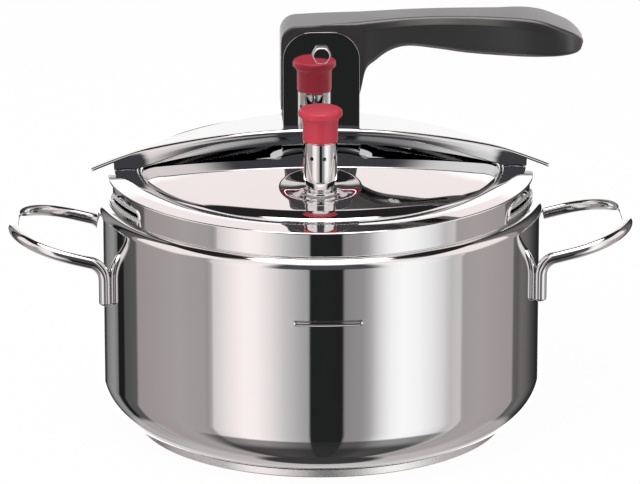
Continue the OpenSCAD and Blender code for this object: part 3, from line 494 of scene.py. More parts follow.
class Value:
    """A number in a node tree. An expression on it adds Math nodes."""

    def __init__(self, tree, socket):
        self.tree = tree
        self.socket = socket

    def maths(self, operation, *operands):
        """A Math node on its operands, each of them a value or a plain number."""
        node = self.tree.nodes.new("ShaderNodeMath")
        node.operation = operation
        for entry, value in zip(node.inputs, operands):
            if isinstance(value, Value):
                self.tree.links.new(value.socket, entry)
            else:
                entry.default_value = value
        return Value(self.tree, node.outputs[0])

    def __add__(self, other):
        return self.maths("ADD", self, other)

    def __sub__(self, other):
        return self.maths("SUBTRACT", self, other)

    def __rsub__(self, other):
        return self.maths("SUBTRACT", other, self)

    def __mul__(self, other):
        return self.maths("MULTIPLY", self, other)

    def __truediv__(self, other):
        return self.maths("DIVIDE", self, other)


class Shader:
    """A node tree that is being filled."""

    def __init__(self, tree):
        self.tree = tree
        tree.nodes.clear()

    def node(self, kind, settings=None, ramp=None, **inputs):
        """Adds a node, sets it up, and gives its sockets their values or links."""
        node = self.tree.nodes.new(kind)
        for setting, value in (settings or {}).items():
            setattr(node, setting, value)
        if ramp:
            self.fill_ramp(node.color_ramp, ramp)
        for entry, value in inputs.items():
            socket = node.inputs[entry.replace("_", " ")]
            if isinstance(value, Value):
                value = value.socket
            if isinstance(value, bpy.types.NodeSocket):
                self.tree.links.new(value, socket)
            else:
                socket.default_value = value
        return node

    def fill_ramp(self, ramp, stops):
        """Sets a ramp's stops, each a place, a tone and its warmth."""
        while len(ramp.elements) > 1:
            ramp.elements.remove(ramp.elements[-1])
        for i, (place, tone, warmth) in enumerate(stops):
            element = ramp.elements[0] if i == 0 else ramp.elements.new(place)
            element.position = place
            element.color = (tone * warmth, tone, tone, 1)

    def value(self, socket):
        """A socket as a number to reckon with."""
        return Value(self.tree, socket)

    def place(self, scale=(1, 1, 1)):
        """Object coordinates, stretched."""
        coordinates = self.node("ShaderNodeTexCoord")
        return self.node("ShaderNodeMapping", Vector=coordinates.outputs["Object"],
                         Scale=scale).outputs["Vector"]

    def noise(self, place, scale, detail=3.0):
        """Noise between nothing and one."""
        node = self.node("ShaderNodeTexNoise", Vector=place, Scale=scale, Detail=detail)
        return self.value(node.outputs["Fac"])

    def mix(self, factor, first, second):
        """A colour between two colours."""
        node = self.node("ShaderNodeMix", {"data_type": "RGBA"})
        sockets = [entry for entry in node.inputs if entry.type == "RGBA"]
        self.tree.links.new(factor.socket, node.inputs[0])
        for socket, colour_in in zip(sockets, (first, second)):
            if isinstance(colour_in, bpy.types.NodeSocket):
                self.tree.links.new(colour_in, socket)
            else:
                socket.default_value = (*colour_in, 1)
        return next(out for out in node.outputs if out.type == "RGBA")

    def mixed(self, factor, first, second):
        """A shader between two shaders."""
        node = self.node("ShaderNodeMixShader", Fac=factor)
        for socket, shader_in in zip(node.inputs[1:], (first, second)):
            self.tree.links.new(shader_in, socket)
        return node.outputs[0]

    def light(self, tone, strength):
        """Light of a tone from all round."""
        return self.node("ShaderNodeBackground", Color=tone, Strength=strength).outputs[0]

    def blend(self, value, low, high, first, second, settings=None):
        """A value carried evenly from the range low to high to the range first to second."""
        return self.value(self.node(
            "ShaderNodeMapRange", settings, Value=value, From_Min=low, From_Max=high,
            To_Min=first, To_Max=second).outputs[0])

    def fade(self, value, none, full):
        """Nothing up to one bound and one from the other on, smoothly."""
        return self.blend(value, none, full, 0, 1, {"interpolation_type": "SMOOTHSTEP"})

    def bump(self, height, microns):
        """A normal bent by a height, of so many thousandths of a millimetre."""
        return self.node("ShaderNodeBump", Height=height,
                         Distance=microns * 0.001 * MM).outputs["Normal"]


def new_shader(name):
    """A new material and the shader that fills it."""
    material = bpy.data.materials.new(name + "_finish")
    material.use_nodes = True
    return material, Shader(material.node_tree)


def surface(shader, **inputs):
    """Ends a material with its surface."""
    principled = shader.node("ShaderNodeBsdfPrincipled", **inputs)
    shader.node("ShaderNodeOutputMaterial", Surface=principled.outputs[0])


def shaded(rgb, share_of):
    """A colour made darker or lighter."""
    return tuple(min(channel * share_of, 1) for channel in rgb)


def clouded(name, rgb, shades, clouds, grain, bump, rough, cloud_detail=3, grain_detail=3,
            stretch=(1, 1, 1), grain_rough=0, cloud_rough=0, **inputs):
    """A finish with two shades of a colour in cloudy patches, and a fine grain that bends it."""
    material, shader = new_shader(name)
    fine = shader.noise(shader.place(stretch), grain, grain_detail)
    patches = shader.noise(shader.place(), clouds, cloud_detail)
    tone = shader.mix(patches, *(shaded(rgb, part) for part in shades))
    roughness = patches * cloud_rough + fine * grain_rough + rough
    surface(shader, Base_Color=tone, Roughness=roughness, Normal=shader.bump(fine, bump), **inputs)
    return material


def polished_steel(finishes, name="polished_steel", darker=1.0):
    """Mirror-polished stainless steel with faint polishing lines and cloudy wipe marks."""
    material, shader = new_shader(name)
    lines = shader.noise(shader.place((30, 30, 900)), scale=1, detail=2)
    clouds = shader.noise(shader.place(), scale=26, detail=4)
    grain = shader.noise(shader.place(), scale=900, detail=2)
    tone = shader.mix(clouds, shaded(finishes.steel, 0.985 * darker),
                      shaded(finishes.steel, 1.015 * darker))
    roughness = lines * 0.02 + clouds * 0.02 + finishes.steel_rough
    surface(shader, Base_Color=tone, Metallic=1.0, Roughness=roughness,
            Normal=shader.bump(grain, microns=0.6))
    return material


def rolled_steel(finishes):
    """Polished steel of the bridge's thicker sheet, a little darker."""
    return polished_steel(finishes, "rolled_steel", 0.86)


def brushed_steel(finishes):
    """Brushed steel of the base and the windows' lips, with fine turned lines."""
    return clouded("brushed_steel", finishes.brushed, shades=(0.95, 1), clouds=60, grain=1,
                   stretch=(40, 40, 1800), bump=8, rough=0.2, grain_rough=0.1, Metallic=0.7)


def satin_steel(finishes):
    """Turned steel of the fasteners, with fine rings."""
    return clouded("satin_steel", finishes.satin, shades=(0.92, 1.06), clouds=120, grain=1,
                   stretch=(60, 60, 2400), bump=6, rough=0.18, grain_rough=0.12, Metallic=1.0)


def cast_aluminium(finishes):
    """Sand-blasted aluminium with a fine, dull grain."""
    return clouded("aluminium", finishes.aluminium, shades=(0.88, 1), clouds=70, grain=1400,
                   grain_detail=4, bump=20, rough=0.3, grain_rough=0.16, Metallic=1.0)


def black_moulding(finishes):
    """Black moulded handle with a fine satin grain and worn, smoother patches."""
    return clouded("black_plastic", finishes.black, shades=(0.8, 1.25), clouds=45, cloud_detail=4,
                   grain=1700, grain_detail=2, bump=12, rough=finishes.black_rough - 0.08,
                   grain_rough=0.05, cloud_rough=0.12, IOR=1.85, Sheen_Weight=0.5,
                   Sheen_Roughness=0.35, Sheen_Tint=(1.0, 0.93, 0.95, 1.0))


def red_moulding(finishes):
    """Red moulded cap with a soft sheen."""
    return clouded("red_plastic", finishes.red, shades=(0.93, 1.07), clouds=110, grain=1500,
                   grain_detail=2, bump=10, rough=finishes.red_rough - 0.04, cloud_rough=0.08,
                   IOR=1.5)


def silicone(finishes):
    """Dull silicone rubber with a fine grain."""
    return clouded("silicone", finishes.silicone, shades=(0.94, 1), clouds=60, grain=700, bump=20,
                   rough=0.45, grain_rough=0.1)


MAKERS = {
    "polished_steel": polished_steel,
    "rolled_steel": rolled_steel,
    "brushed_steel": brushed_steel,
    "satin_steel": satin_steel,
    "aluminium": cast_aluminium,
    "black_plastic": black_moulding,
    "red_plastic": red_moulding,
    "silicone": silicone,
}
made = {}


def material_of(look):
    """The material of a finish, made when it is first asked for."""
    if look not in made:
        made[look] = MAKERS[look](bpy.context.scene.cooker_finishes)
    return made[look]


# ------------------------------------------------------------------ pot

def rim_height(pot, radius, depth=0.0):
    """Height of the rim at a radius, at a depth below its top face."""
    if radius > pot.rim_x:
        fall = (pot.rim_z - pot.collar_z) / (pot.collar_r - pot.rim_x)
        return pot.rim_z - (radius - pot.rim_x) * fall - depth
    return pot.rim_z + (pot.rim_x - radius) * math.tan(pot.rim_slope) - depth


def pot_skin(pot, depth, end_r):
    """Corners of the pot's section from the floor's middle to the rim, at a depth."""
    wall, groove, collar = pot.wall_r - depth, pot.groove_r - depth, pot.collar_r - depth
    groove_top = pot.shoulder_z + pot.groove_h
    return [
        (0, pot.floor_z + depth, 0),
        (wall, pot.floor_z + depth, pot.corner_r - depth),
        *((wall, z, 0) for z in pot.wall_rings),
        (wall, pot.shoulder_z - depth, pot.shoulder_r - depth),
        (groove, pot.shoulder_z - depth, 0.25 * MM),
        (groove, groove_top, 0.2 * MM),
        (collar, groove_top + pot.groove_slope_h, 0.5 * MM),
        (collar, pot.collar_z - depth * 0.6, max(pot.corner_h - depth, 0.2 * MM)),
        (pot.rim_x, pot.rim_z - depth, pot.rim_r - depth),
        (end_r, rim_height(pot, end_r, depth), 0),
    ]


def pot_outline(pot):
    """The pot's closed section, with the folded hem at its opening."""
    nose_x = pot.opening_r + pot.sheet
    hem_x = pot.opening_r + pot.hem_w
    nose = Vector((nose_x, rim_height(pot, nose_x, pot.sheet)))
    start = math.pi / 2 - pot.rim_slope
    hem = [nose + pot.sheet * Vector((math.cos(a), math.sin(a)))
           for a in (start + math.pi * k / 10 for k in range(11))]
    inside = rounded(pot_skin(pot, pot.sheet, hem_x))
    return (rounded(pot_skin(pot, 0, nose_x)) + hem
            + [(hem_x, rim_height(pot, hem_x, 2 * pot.sheet))] + inside[::-1])


def stadium(bar_l, half_h, straight=16, arc=10):
    """Points round a flat bar with round ends, centred on nothing."""
    half = bar_l / 2 - half_h
    points = []
    for side in (1, -1):
        points += [(side * (half + half_h * math.cos(a)), side * half_h * math.sin(a))
                   for a in (math.pi * (k / arc - 0.5) for k in range(arc + 1))]
        points += [(side * half * (1 - 2 * k / straight), side * half_h)
                   for k in range(1, straight)]
    return points


def pressing(name, wall_r, azimuth, height, bar_l, rings):
    """A long pressing in a round wall, from rings of (half height, distance outwards)."""
    outer = rings[0][0]
    shape = []
    for half_h, out in rings:
        bar = stadium(bar_l - 2 * outer + 2 * half_h, half_h)
        turns = [(azimuth + x / wall_r, z) for x, z in bar]
        shape.append([((wall_r + out) * math.sin(turn), -(wall_r + out) * math.cos(turn),
                       height + z) for turn, z in turns])
    skin = lofted(name, shape, capped=False)
    tidy_mesh(skin)
    face_outwards(skin, (0, 0, height))
    return skin


def plug(name, wall_r, azimuth, height, slot_l, half_h, depth, proud=3 * MM):
    """A long flat plug with round ends that cuts a slot into a round wall."""
    outward = Vector((math.sin(azimuth), -math.cos(azimuth), 0))
    along = Vector((math.cos(azimuth), math.sin(azimuth), 0))
    cutter = lofted(name, [[outward * (wall_r + out) + along * x + Vector((0, 0, height + z))
                            for x, z in stadium(slot_l, half_h)] for out in (-depth, proud)])
    tidy_mesh(cutter)
    return cutter


def window_places(sizes):
    """The azimuths of the collar's four windows."""
    return [end + side * sizes.window_angle for end in (0, math.pi) for side in (-1, 1)]


class COOKER_OT_pot(bpy.types.Operator):
    """Model the pot's drawn shell with its rolled rim and its pressings"""
    bl_idname = "cooker.pot"
    bl_label = "Pot"

    def execute(self, context):
        pot = context.scene.cooker_pot
        sizes = context.scene.cooker_pressings
        shell = turned("pot_shell", pot_outline(pot), steps=256)
        slot_l = sizes.window_l - sizes.window_h + sizes.slot_h
        plugs = [plug("slot_cutter", pot.collar_r, turn, sizes.window_z, slot_l,
                      sizes.slot_h / 2, 9 * MM) for turn in window_places(sizes)]
        cut(shell, joined("slot_cutters", plugs))
        lap = 0.05 * MM
        cut(shell, plug("mark_cutter", pot.wall_r, 0, sizes.mark_z, sizes.mark_l - 2 * lap,
                        sizes.mark_h / 2 - lap, 2 * MM))
        finish(shell, "pot", "polished_steel", ["pot_body"])

        rings = self.lip_rings(sizes, pot.sheet)
        lips = [pressing("window_lip", pot.collar_r, turn, sizes.window_z, sizes.window_l, rings)
                for turn in window_places(sizes)]
        finish(joined("window_lips", lips), "pot", "brushed_steel", degrees=60)

        mark = pressing("level_mark", pot.wall_r, 0, sizes.mark_z, sizes.mark_l,
                        self.mark_rings(sizes))
        finish(mark, "pot", "polished_steel", degrees=60)
        return {"FINISHED"}

    def lip_rings(self, sizes, sheet):
        """Rings of a window's rolled lip, from the collar over its crest into the slot."""
        outer, slot = sizes.window_h / 2, sizes.slot_h / 2 - 0.4 * MM
        width = outer - slot
        crest = ((0.12, 0.55), (0.28, 0.86), (0.45, 1.0), (0.62, 0.95), (0.8, 0.7), (0.93, 0.3))
        return [(outer + 0.15 * MM, -0.06 * MM), (outer, 0.1 * MM),
                *((outer - width * part, sizes.lip * rise) for part, rise in crest),
                (slot - 0.02 * MM, -0.1 * MM), (slot - 0.02 * MM, -sheet)]

    def mark_rings(self, sizes):
        """Rings of the level mark's groove, from the wall down to its bottom."""
        half = sizes.mark_h / 2
        slope = ((0.8, 0.25), (0.62, 0.6), (0.42, 0.85), (0.22, 0.97), (0.001, 1.0))
        return [(half, 0), (half * 0.92, -0.03 * MM),
                *((half * part, -sizes.mark_depth * fall) for part, fall in slope)]


class COOKER_OT_base(bpy.types.Operator):
    """Model the steel cap of the thick base"""
    bl_idname = "cooker.base"
    bl_label = "Base"

    def execute(self, context):
        pot = context.scene.cooker_pot
        inner = pot.base_r - pot.base_sheet
        cap = turned("base_shell", rounded([
            (0, FLOOR_Z, 0),
            (pot.base_r, FLOOR_Z, pot.base_sheet),
            (pot.base_r, pot.floor_z, 0.25 * MM),
            (inner, pot.floor_z, 0),
            (inner, FLOOR_Z + pot.base_sheet, 0),
            (0, FLOOR_Z + pot.base_sheet, 0)], step=math.radians(15)), steps=256)
        finish(cap, "pot", "brushed_steel", ["base_cap"])
        return {"FINISHED"}


class COOKER_OT_handles(bpy.types.Operator):
    """Bend the two rod handles and round their ends"""
    bl_idname = "cooker.handles"
    bl_label = "Side handles"
    around = 32
    bend_steps = 12
    corner_steps = 18

    def execute(self, context):
        for node, side in (("side_handle_left", -1), ("side_handle_right", 1)):
            rod = self.bent_rod(context.scene.cooker_handles, node + "_rod", side)
            finish(rod, "pot", "polished_steel", [node])
        return {"FINISHED"}

    def bent_rod(self, sizes, name, side):
        """A rod that is extruded along its legs and spun round its bends."""
        rise = sizes.rise
        out = Vector((side * math.cos(rise), 0, math.sin(rise)))
        loop_up = (-side * math.sin(rise), 0, math.cos(rise))
        leg = Vector((side * sizes.leg_x, side * sizes.leg_y, sizes.foot_z))
        bend_x = side * (sizes.leg_x + sizes.bend_r)
        loop_x = side * (sizes.leg_x + sizes.bend_r * (1 - math.sin(rise)))
        loop_z = sizes.bend_z + sizes.bend_r * math.cos(rise)
        straight = out * (sizes.loop_l - sizes.corner_r)
        corner = Vector((loop_x, 0, loop_z)) + straight
        corner_y = side * (sizes.leg_y - sizes.corner_r)
        bend = math.pi / 2 - rise

        deselect_all()
        bpy.ops.mesh.primitive_circle_add(vertices=self.around, radius=sizes.rod_r, location=leg)
        rod = bpy.context.object
        rod.name = name
        bpy.ops.object.mode_set(mode="EDIT")
        upright = Vector((0, 0, sizes.bend_z - sizes.foot_z))
        across = Vector((0, corner_y, 0))
        self.run(upright)
        self.spin(bend, (bend_x, side * sizes.leg_y, sizes.bend_z), (0, side, 0), self.bend_steps)
        self.run(straight)
        self.spin(-math.pi / 2, corner + across, loop_up, self.corner_steps)
        self.run(-2 * across)
        self.spin(-math.pi / 2, corner - across, loop_up, self.corner_steps)
        self.run(-straight)
        self.spin(-bend, (bend_x, -side * sizes.leg_y, sizes.bend_z), (0, side, 0),
                  self.bend_steps)
        self.run(-upright)
        bpy.ops.mesh.select_all(action="SELECT")
        bpy.ops.mesh.fill_holes(sides=0)
        leave_edit()
        bpy.ops.object.transform_apply()
        tidy_mesh(rod)
        edit(rod, "DESELECT")
        leave_edit()
        for face in rod.data.polygons:
            face.select = len(face.vertices) > 4
        bpy.ops.object.mode_set(mode="EDIT")
        bpy.ops.mesh.bevel(offset=sizes.end_r, segments=5, affect="EDGES")
        leave_edit()
        return rod

    def run(self, move):
        """Extrudes the rod's open end along a straight."""
        bpy.ops.mesh.extrude_region_move(TRANSFORM_OT_translate={"value": move})

    def spin(self, turn, centre, axis, steps):
        """Spins the rod's open end round a bend. The tool's angle runs the other way round."""
        bpy.ops.mesh.spin(steps=steps, angle=-turn, center=centre, axis=axis)


# ------------------------------------------------------------------ bridge and lid

def soft_max(a, b, reach):
    """The larger of two numbers, blended where they are close."""
    mix = min(max(0.5 + 0.5 * (a - b) / reach, 0), 1)
    return b + (a - b) * mix + reach * mix * (1 - mix)


def dome_height(lid, radius):
    """Height of the lid's dome at a distance from its middle."""
    inner = min(radius, lid.edge_x)
    height = lid.crown_z - lid.dome_drop - lid.dome_r + math.sqrt(lid.dome_r ** 2 - inner ** 2)
    lean = lid.edge_x / lid.dome_r
    if radius > lid.edge_x:
        steeper = lean + (radius - lid.edge_x) / lid.edge_curve
        height -= lid.edge_curve * (math.sqrt(1 - lean ** 2) - math.sqrt(1 - steeper ** 2))
    return height


class COOKER_OT_bridge(bpy.types.Operator):
    """Model the arched sheet bridge with its flanges, tongues and slots"""
    bl_idname = "cooker.bridge"
    bl_label = "Bridge"
    steps = 150

    def execute(self, context):
        sizes = context.scene.cooker_bridge
        places = [sizes.tongue_x * (2 * k / self.steps - 1) for k in range(self.steps + 1)]
        # A close pair at each end of the flanges, where the lower edge steps up.
        places += [side * sizes.foot_x * near for side in (-1, 1) for near in (0.999, 1.001)]
        sheet = lofted("bridge_plate", [self.section(context.scene, x) for x in sorted(places)],
                       capped=False, closed=False)
        tidy_mesh(sheet)
        face_outwards(sheet, (0, 0, 0))
        thicken(sheet, sizes.sheet)
        through = 12.5 * MM
        for side in (-1, 1):
            middle = Vector((0, side * sizes.slot_y, sizes.top_z - sizes.flange_h))
            reach = Vector((sizes.slot_x, sizes.slot_w / 2, through))
            cut(sheet, block("slot_cutter", middle - reach, middle + reach))
        round_edges(sheet, 0.3 * MM, segments=2, degrees=50)
        finish(sheet, "pot", "rolled_steel", ["bridge"])
        return {"FINISHED"}

    def section(self, scene, x):
        """The bridge's cross section at a distance along it, from edge to edge."""
        sizes, pot, lid = scene.cooker_bridge, scene.cooker_pot, scene.cooker_lid
        top = sizes.top_z - sizes.arch_r + math.sqrt(sizes.arch_r ** 2 - x ** 2)
        lens = math.sqrt(sizes.side_r ** 2 - x ** 2) - (sizes.side_r - sizes.half_w)
        half_w = soft_max(lens, sizes.tongue_w, sizes.side_blend)
        edge = (sizes.top_z - sizes.flange_h - sizes.flange_r
                + math.sqrt(sizes.flange_r ** 2 - x ** 2))
        radius = math.hypot(x, half_w)
        under = dome_height(lid, radius) if radius < lid.wall_r else rim_height(pot, radius)
        edge = max(edge, under + sizes.gap)
        if abs(x) > sizes.foot_x:
            edge = top - sizes.sheet
        bend = min(sizes.bend_r, half_w * 0.5, top - edge)
        corners = [(0, top, 0), (half_w, top, bend), (half_w, min(edge, top - bend - 0.01 * MM), 0)]
        flat, *arc = rounded(corners, count=8)[:-1]
        half = [flat + (arc[0] - flat) * k / 4 for k in range(4)] + arc
        half += [Vector((half_w, arc[-1].y + (edge - arc[-1].y) * k / 3)) for k in (1, 2, 3)]
        left = [(x, -point.x, point.y) for point in half[:0:-1]]
        return left + [(x, point.x, point.y) for point in half]


class COOKER_OT_lid(bpy.types.Operator):
    """Model the pressed lid with its dome, its two dishes and its edge"""
    bl_idname = "cooker.lid"
    bl_label = "Lid"
    steps = 384
    seam_steps = 110
    rings = 24
    bowl_rings = (0.08, 0.17, 0.27, 0.38, 0.5, 0.62, 0.73, 0.82, 0.89, 0.94, 0.97, 0.985)
    dish_reach = 1.5

    def execute(self, context):
        lid = context.scene.cooker_lid
        end_z = dome_height(lid, lid.dome_end)
        lean = math.asin(lid.edge_x / lid.dome_r + (lid.dome_end - lid.edge_x) / lid.edge_curve)
        skirt_line = rounded([
            (lid.dome_end, end_z, 0),
            (lid.wall_r, end_z - (lid.wall_r - lid.dome_end) * math.tan(lean), lid.roll_r),
            (lid.wall_r, lid.flange_z, 0.6 * MM),
            (lid.flange_r, lid.flange_z, 0)])
        skirt = turned("lid_skirt", skirt_line, steps=self.steps)
        caps = [self.dome_half(lid, side, lid.dome_end) for side in (-1, 1)]
        shell = joined("lid_shell", [skirt] + caps)
        tidy_mesh(shell)
        crown = max(shell.data.polygons, key=lambda face: face.center.z)
        face_outwards(shell, (0, 0, 0), crown)
        thicken(shell, lid.sheet)
        finish(shell, "lid", "polished_steel", ["lid"])
        return {"FINISHED"}

    def dome_half(self, lid, side, end_r):
        """Half of the dome, in rings round its dish that open out to the roll and the seam."""
        centre = self.dish_middle(lid, side)
        half_turn = self.steps // 2
        edge = [end_r * Vector((math.cos(a), side * math.sin(a)))
                for a in (math.tau * k / self.steps for k in range(half_turn + 1))]
        edge += [Vector((-end_r * (1 - 2 * k / self.seam_steps), 0))
                 for k in range(1, self.seam_steps)]
        rays = [end - centre for end in edge]
        floor, bowl = lid.dish_floor_r, lid.dish_r - lid.dish_floor_r
        near = [floor * part for part in (0, 0.5, 0.9, 1)]
        near += [floor + bowl * part for part in self.bowl_rings]
        near += [lid.dish_r + step * MM for step in (0, 0.15, 0.3, 0.5, 0.8, 1.4)]
        reaches = [[reach] * len(rays) for reach in near]
        reaches += [[near[-1] + (ray.length - near[-1]) * k / self.rings for ray in rays]
                    for k in range(1, self.rings + 1)]
        return lofted("lid_dome", [
            [self.on_lid(lid, centre + ray.normalized() * reach) for ray, reach in zip(rays, row)]
            for row in reaches], capped=False)

    def dish_middle(self, lid, side):
        """The middle of the dish in front (side -1) or behind."""
        return Vector((STEAM_VALVE.x if side < 0 else SAFETY_VALVE.x, side * lid.dish_y))

    def on_lid(self, lid, point):
        """The lid's surface above a point of its plan."""
        radius = point.length
        height = dome_height(lid, radius)
        blend = min(max((radius - lid.seat_r) / lid.seat_blend, 0), 1)
        blend = blend * blend * (3 - 2 * blend)
        height = (lid.crown_z - lid.seat_drop) * (1 - blend) + height * blend
        dish = self.dish_middle(lid, -1 if point.y < 0 else 1)
        part = ((point - dish).length - lid.dish_floor_r) / (lid.dish_r - lid.dish_floor_r)
        if part < self.dish_reach:
            bowl = max(part, 0) ** lid.dish_power
            bowl = -soft_max(-bowl, -1, lid.dish_lip)
            height = lid.dish_z + (height - lid.dish_z) * bowl
        return (point.x, point.y, height)


# ------------------------------------------------------------------ lever and its bracket

class COOKER_OT_bracket(bpy.types.Operator):
    """Round the edges of the lever bracket and of the pivot's fasteners"""
    bl_idname = "cooker.bracket"
    bl_label = "Bracket and pivot"

    # Width of each piece's rounded edges, in millimetres.
    bevels = {"lever_bracket": 0.45, "pivot_bolt": 0.25, "pivot_washer": 0.2, "pivot_nut": 0.25}

    def execute(self, context):
        about = Matrix.Translation((0, 0, PIVOT_Z))
        flat_up = about @ Matrix.Rotation(math.radians(30), 4, "Y") @ about.inverted()
        for node, bevel in self.bevels.items():
            piece = softened(node + "_soft", node, bevel * MM)
            if node in ("pivot_bolt", "pivot_nut"):
                piece.data.transform(flat_up)
            finish(piece, "lid", "polished_steel", [node])
        return {"FINISHED"}


# Cross sections of the grip about the pivot, in millimetres: distance, underside, top,
# half width and half flat width beyond the root's, depth of the bevel.
GRIP_ROWS = [
    (19.5, -19.2, 14.8, 0, -1.2, 4.6),
    (21.6, -9.9, 15.0, 0, -1.5, 4.5),
    (26, -5.3, 15.3, -0.3, -2.0, 4.3),
    (33.5, 0, 15.8, -0.6, -2.7, 4.0),
    (42, 2.1, 16.3, -0.9, -3.3, 3.7),
    (56, 0.6, 16.7, -1, -3.6, 3.6),
    (70, -1.5, 16.7, -0.7, -3.1, 3.7),
    (85, -2.6, 16.4, 0.5, -2.0, 4.0),
    (99, -3.1, 16.0, 2.2, 0.7, 5.0),
    (108, -3.1, 14.5, 2.8, 1.7, 5.3),
    (116, -2.8, 11.5, 2.8, 2.0, 5.1),
    (122, -2.0, 8.7, 1.6, 1.0, 4.6),
    (126, -0.6, 5.6, -2.0, -2.6, 3.0),
    (127.6, 2.0, 3.6, -6, -6.4, 0.6),
]
# The root's rounded heel: distance from the pivot, height above the cam's lowest point.
HEEL = [(6.5, 0.3), (10.5, 1.8), (15, 5.4), (17.5, 9.2)]


class COOKER_OT_lever(bpy.types.Operator):
    """Model the lever's moulded handle with its cam root and the slot for its core"""
    bl_idname = "cooker.lever"
    bl_label = "Lever"

    # The root's top, in millimetres: its flat beyond the half width, its bevel at the pivot,
    # and how fast the bevel and the height grow towards the grip.
    root_flat = -0.6
    root_bevel = 0.8
    bevel_growth = 0.19
    top_growth = 0.048

    def execute(self, context):
        lever = context.scene.cooker_lever
        rows = self.root_rows(lever) + self.grip_curve()
        grip = lofted("lever_grip", [self.ring(lever, row) for row in rows])
        tidy_mesh(grip)
        far = 60 * MM
        cut(grip, block("core_cutter", (-lever.core_x, -lever.core_w, PIVOT_Z - far),
                        (lever.core_l, lever.core_w, PIVOT_Z + lever.core_z)))
        cut(grip, pin("bush_cutter", (0, 0, PIVOT_Z), (0, 1, 0), lever.bush_r, far))
        finish(grip, "lever", "black_plastic", ["lever_handle"], degrees=50)
        return {"FINISHED"}

    def root_rows(self, lever):
        """Rows of the root, along the cam and the heel, in millimetres."""
        cam = (lever.cam_r - lever.relief) / MM
        fall = lever.cam_fall / MM / 90
        root_x = lever.root_x / MM
        ends = []
        for step in range(40, -1, -1):
            degrees = 1.5 * step
            radius = cam - fall * degrees
            place = -radius * math.sin(math.radians(degrees))
            if place > 0.3 - root_x:
                ends.append((place, -radius * math.cos(math.radians(degrees))))
        last = cam - fall * math.degrees(math.asin(root_x / cam))
        ends.insert(0, (-root_x, -math.sqrt(last ** 2 - root_x ** 2)))
        ends += [(x, z - cam) for x, z in HEEL]
        return [(x, low, self.root_top(lever, x), 0, self.root_flat,
                 self.root_bevel + max(x, 0) * self.bevel_growth) for x, low in ends]

    def root_top(self, lever, x):
        """Height of the root's top, with its rounded corner."""
        corner, root_x = lever.root_corner / MM, lever.root_x / MM
        beyond = max(corner - root_x - x, 0)
        rise = max(root_x - corner + x, 0) * self.top_growth
        return lever.root_top / MM - corner + math.sqrt(corner ** 2 - beyond ** 2) + rise

    def grip_curve(self, steps=6):
        """Rows along a smooth curve through the grip's table."""
        def slope(i):
            before, after = GRIP_ROWS[max(i - 1, 0)], GRIP_ROWS[min(i + 1, len(GRIP_ROWS) - 1)]
            return [(b - a) / (after[0] - before[0]) for a, b in zip(before, after)]
        rows = []
        for i in range(len(GRIP_ROWS) - 1):
            start, end = GRIP_ROWS[i], GRIP_ROWS[i + 1]
            run = end[0] - start[0]
            for k in range(steps):
                t = k / steps
                weights = (2 * t ** 3 - 3 * t ** 2 + 1, (t ** 3 - 2 * t ** 2 + t) * run,
                           3 * t ** 2 - 2 * t ** 3, (t ** 3 - t ** 2) * run)
                rows.append([sum(w * v for w, v in zip(weights, values)) for values in
                             zip(start, slope(i), end, slope(i + 1))])
        return rows + [list(GRIP_ROWS[-1])]

    def ring(self, lever, row):
        """One rounded cross section of the lever."""
        x, low, top, extra_w, extra_flat, bevel = [value * MM for value in row]
        half_w, flat_w = lever.half_w + extra_w, lever.half_w + extra_flat
        side_top = top - bevel
        room = side_top - low
        low_r = min(3 * MM, room * 0.4)
        side_r = min(1.6 * MM, room * 0.3, bevel * 0.35)
        top_r = min(2.4 * MM, bevel * 0.6, flat_w * 0.5)
        corners = [(0, low, 0), (half_w, low, low_r), (half_w, side_top, side_r),
                   (flat_w, top, top_r), (0, top, 0)]
        half = rounded(corners, count=5)
        both = half + [Vector((-point.x, point.y)) for point in half[-2:0:-1]]
        return [(x, point.x, PIVOT_Z + point.y) for point in both]


# ------------------------------------------------------------------ valves

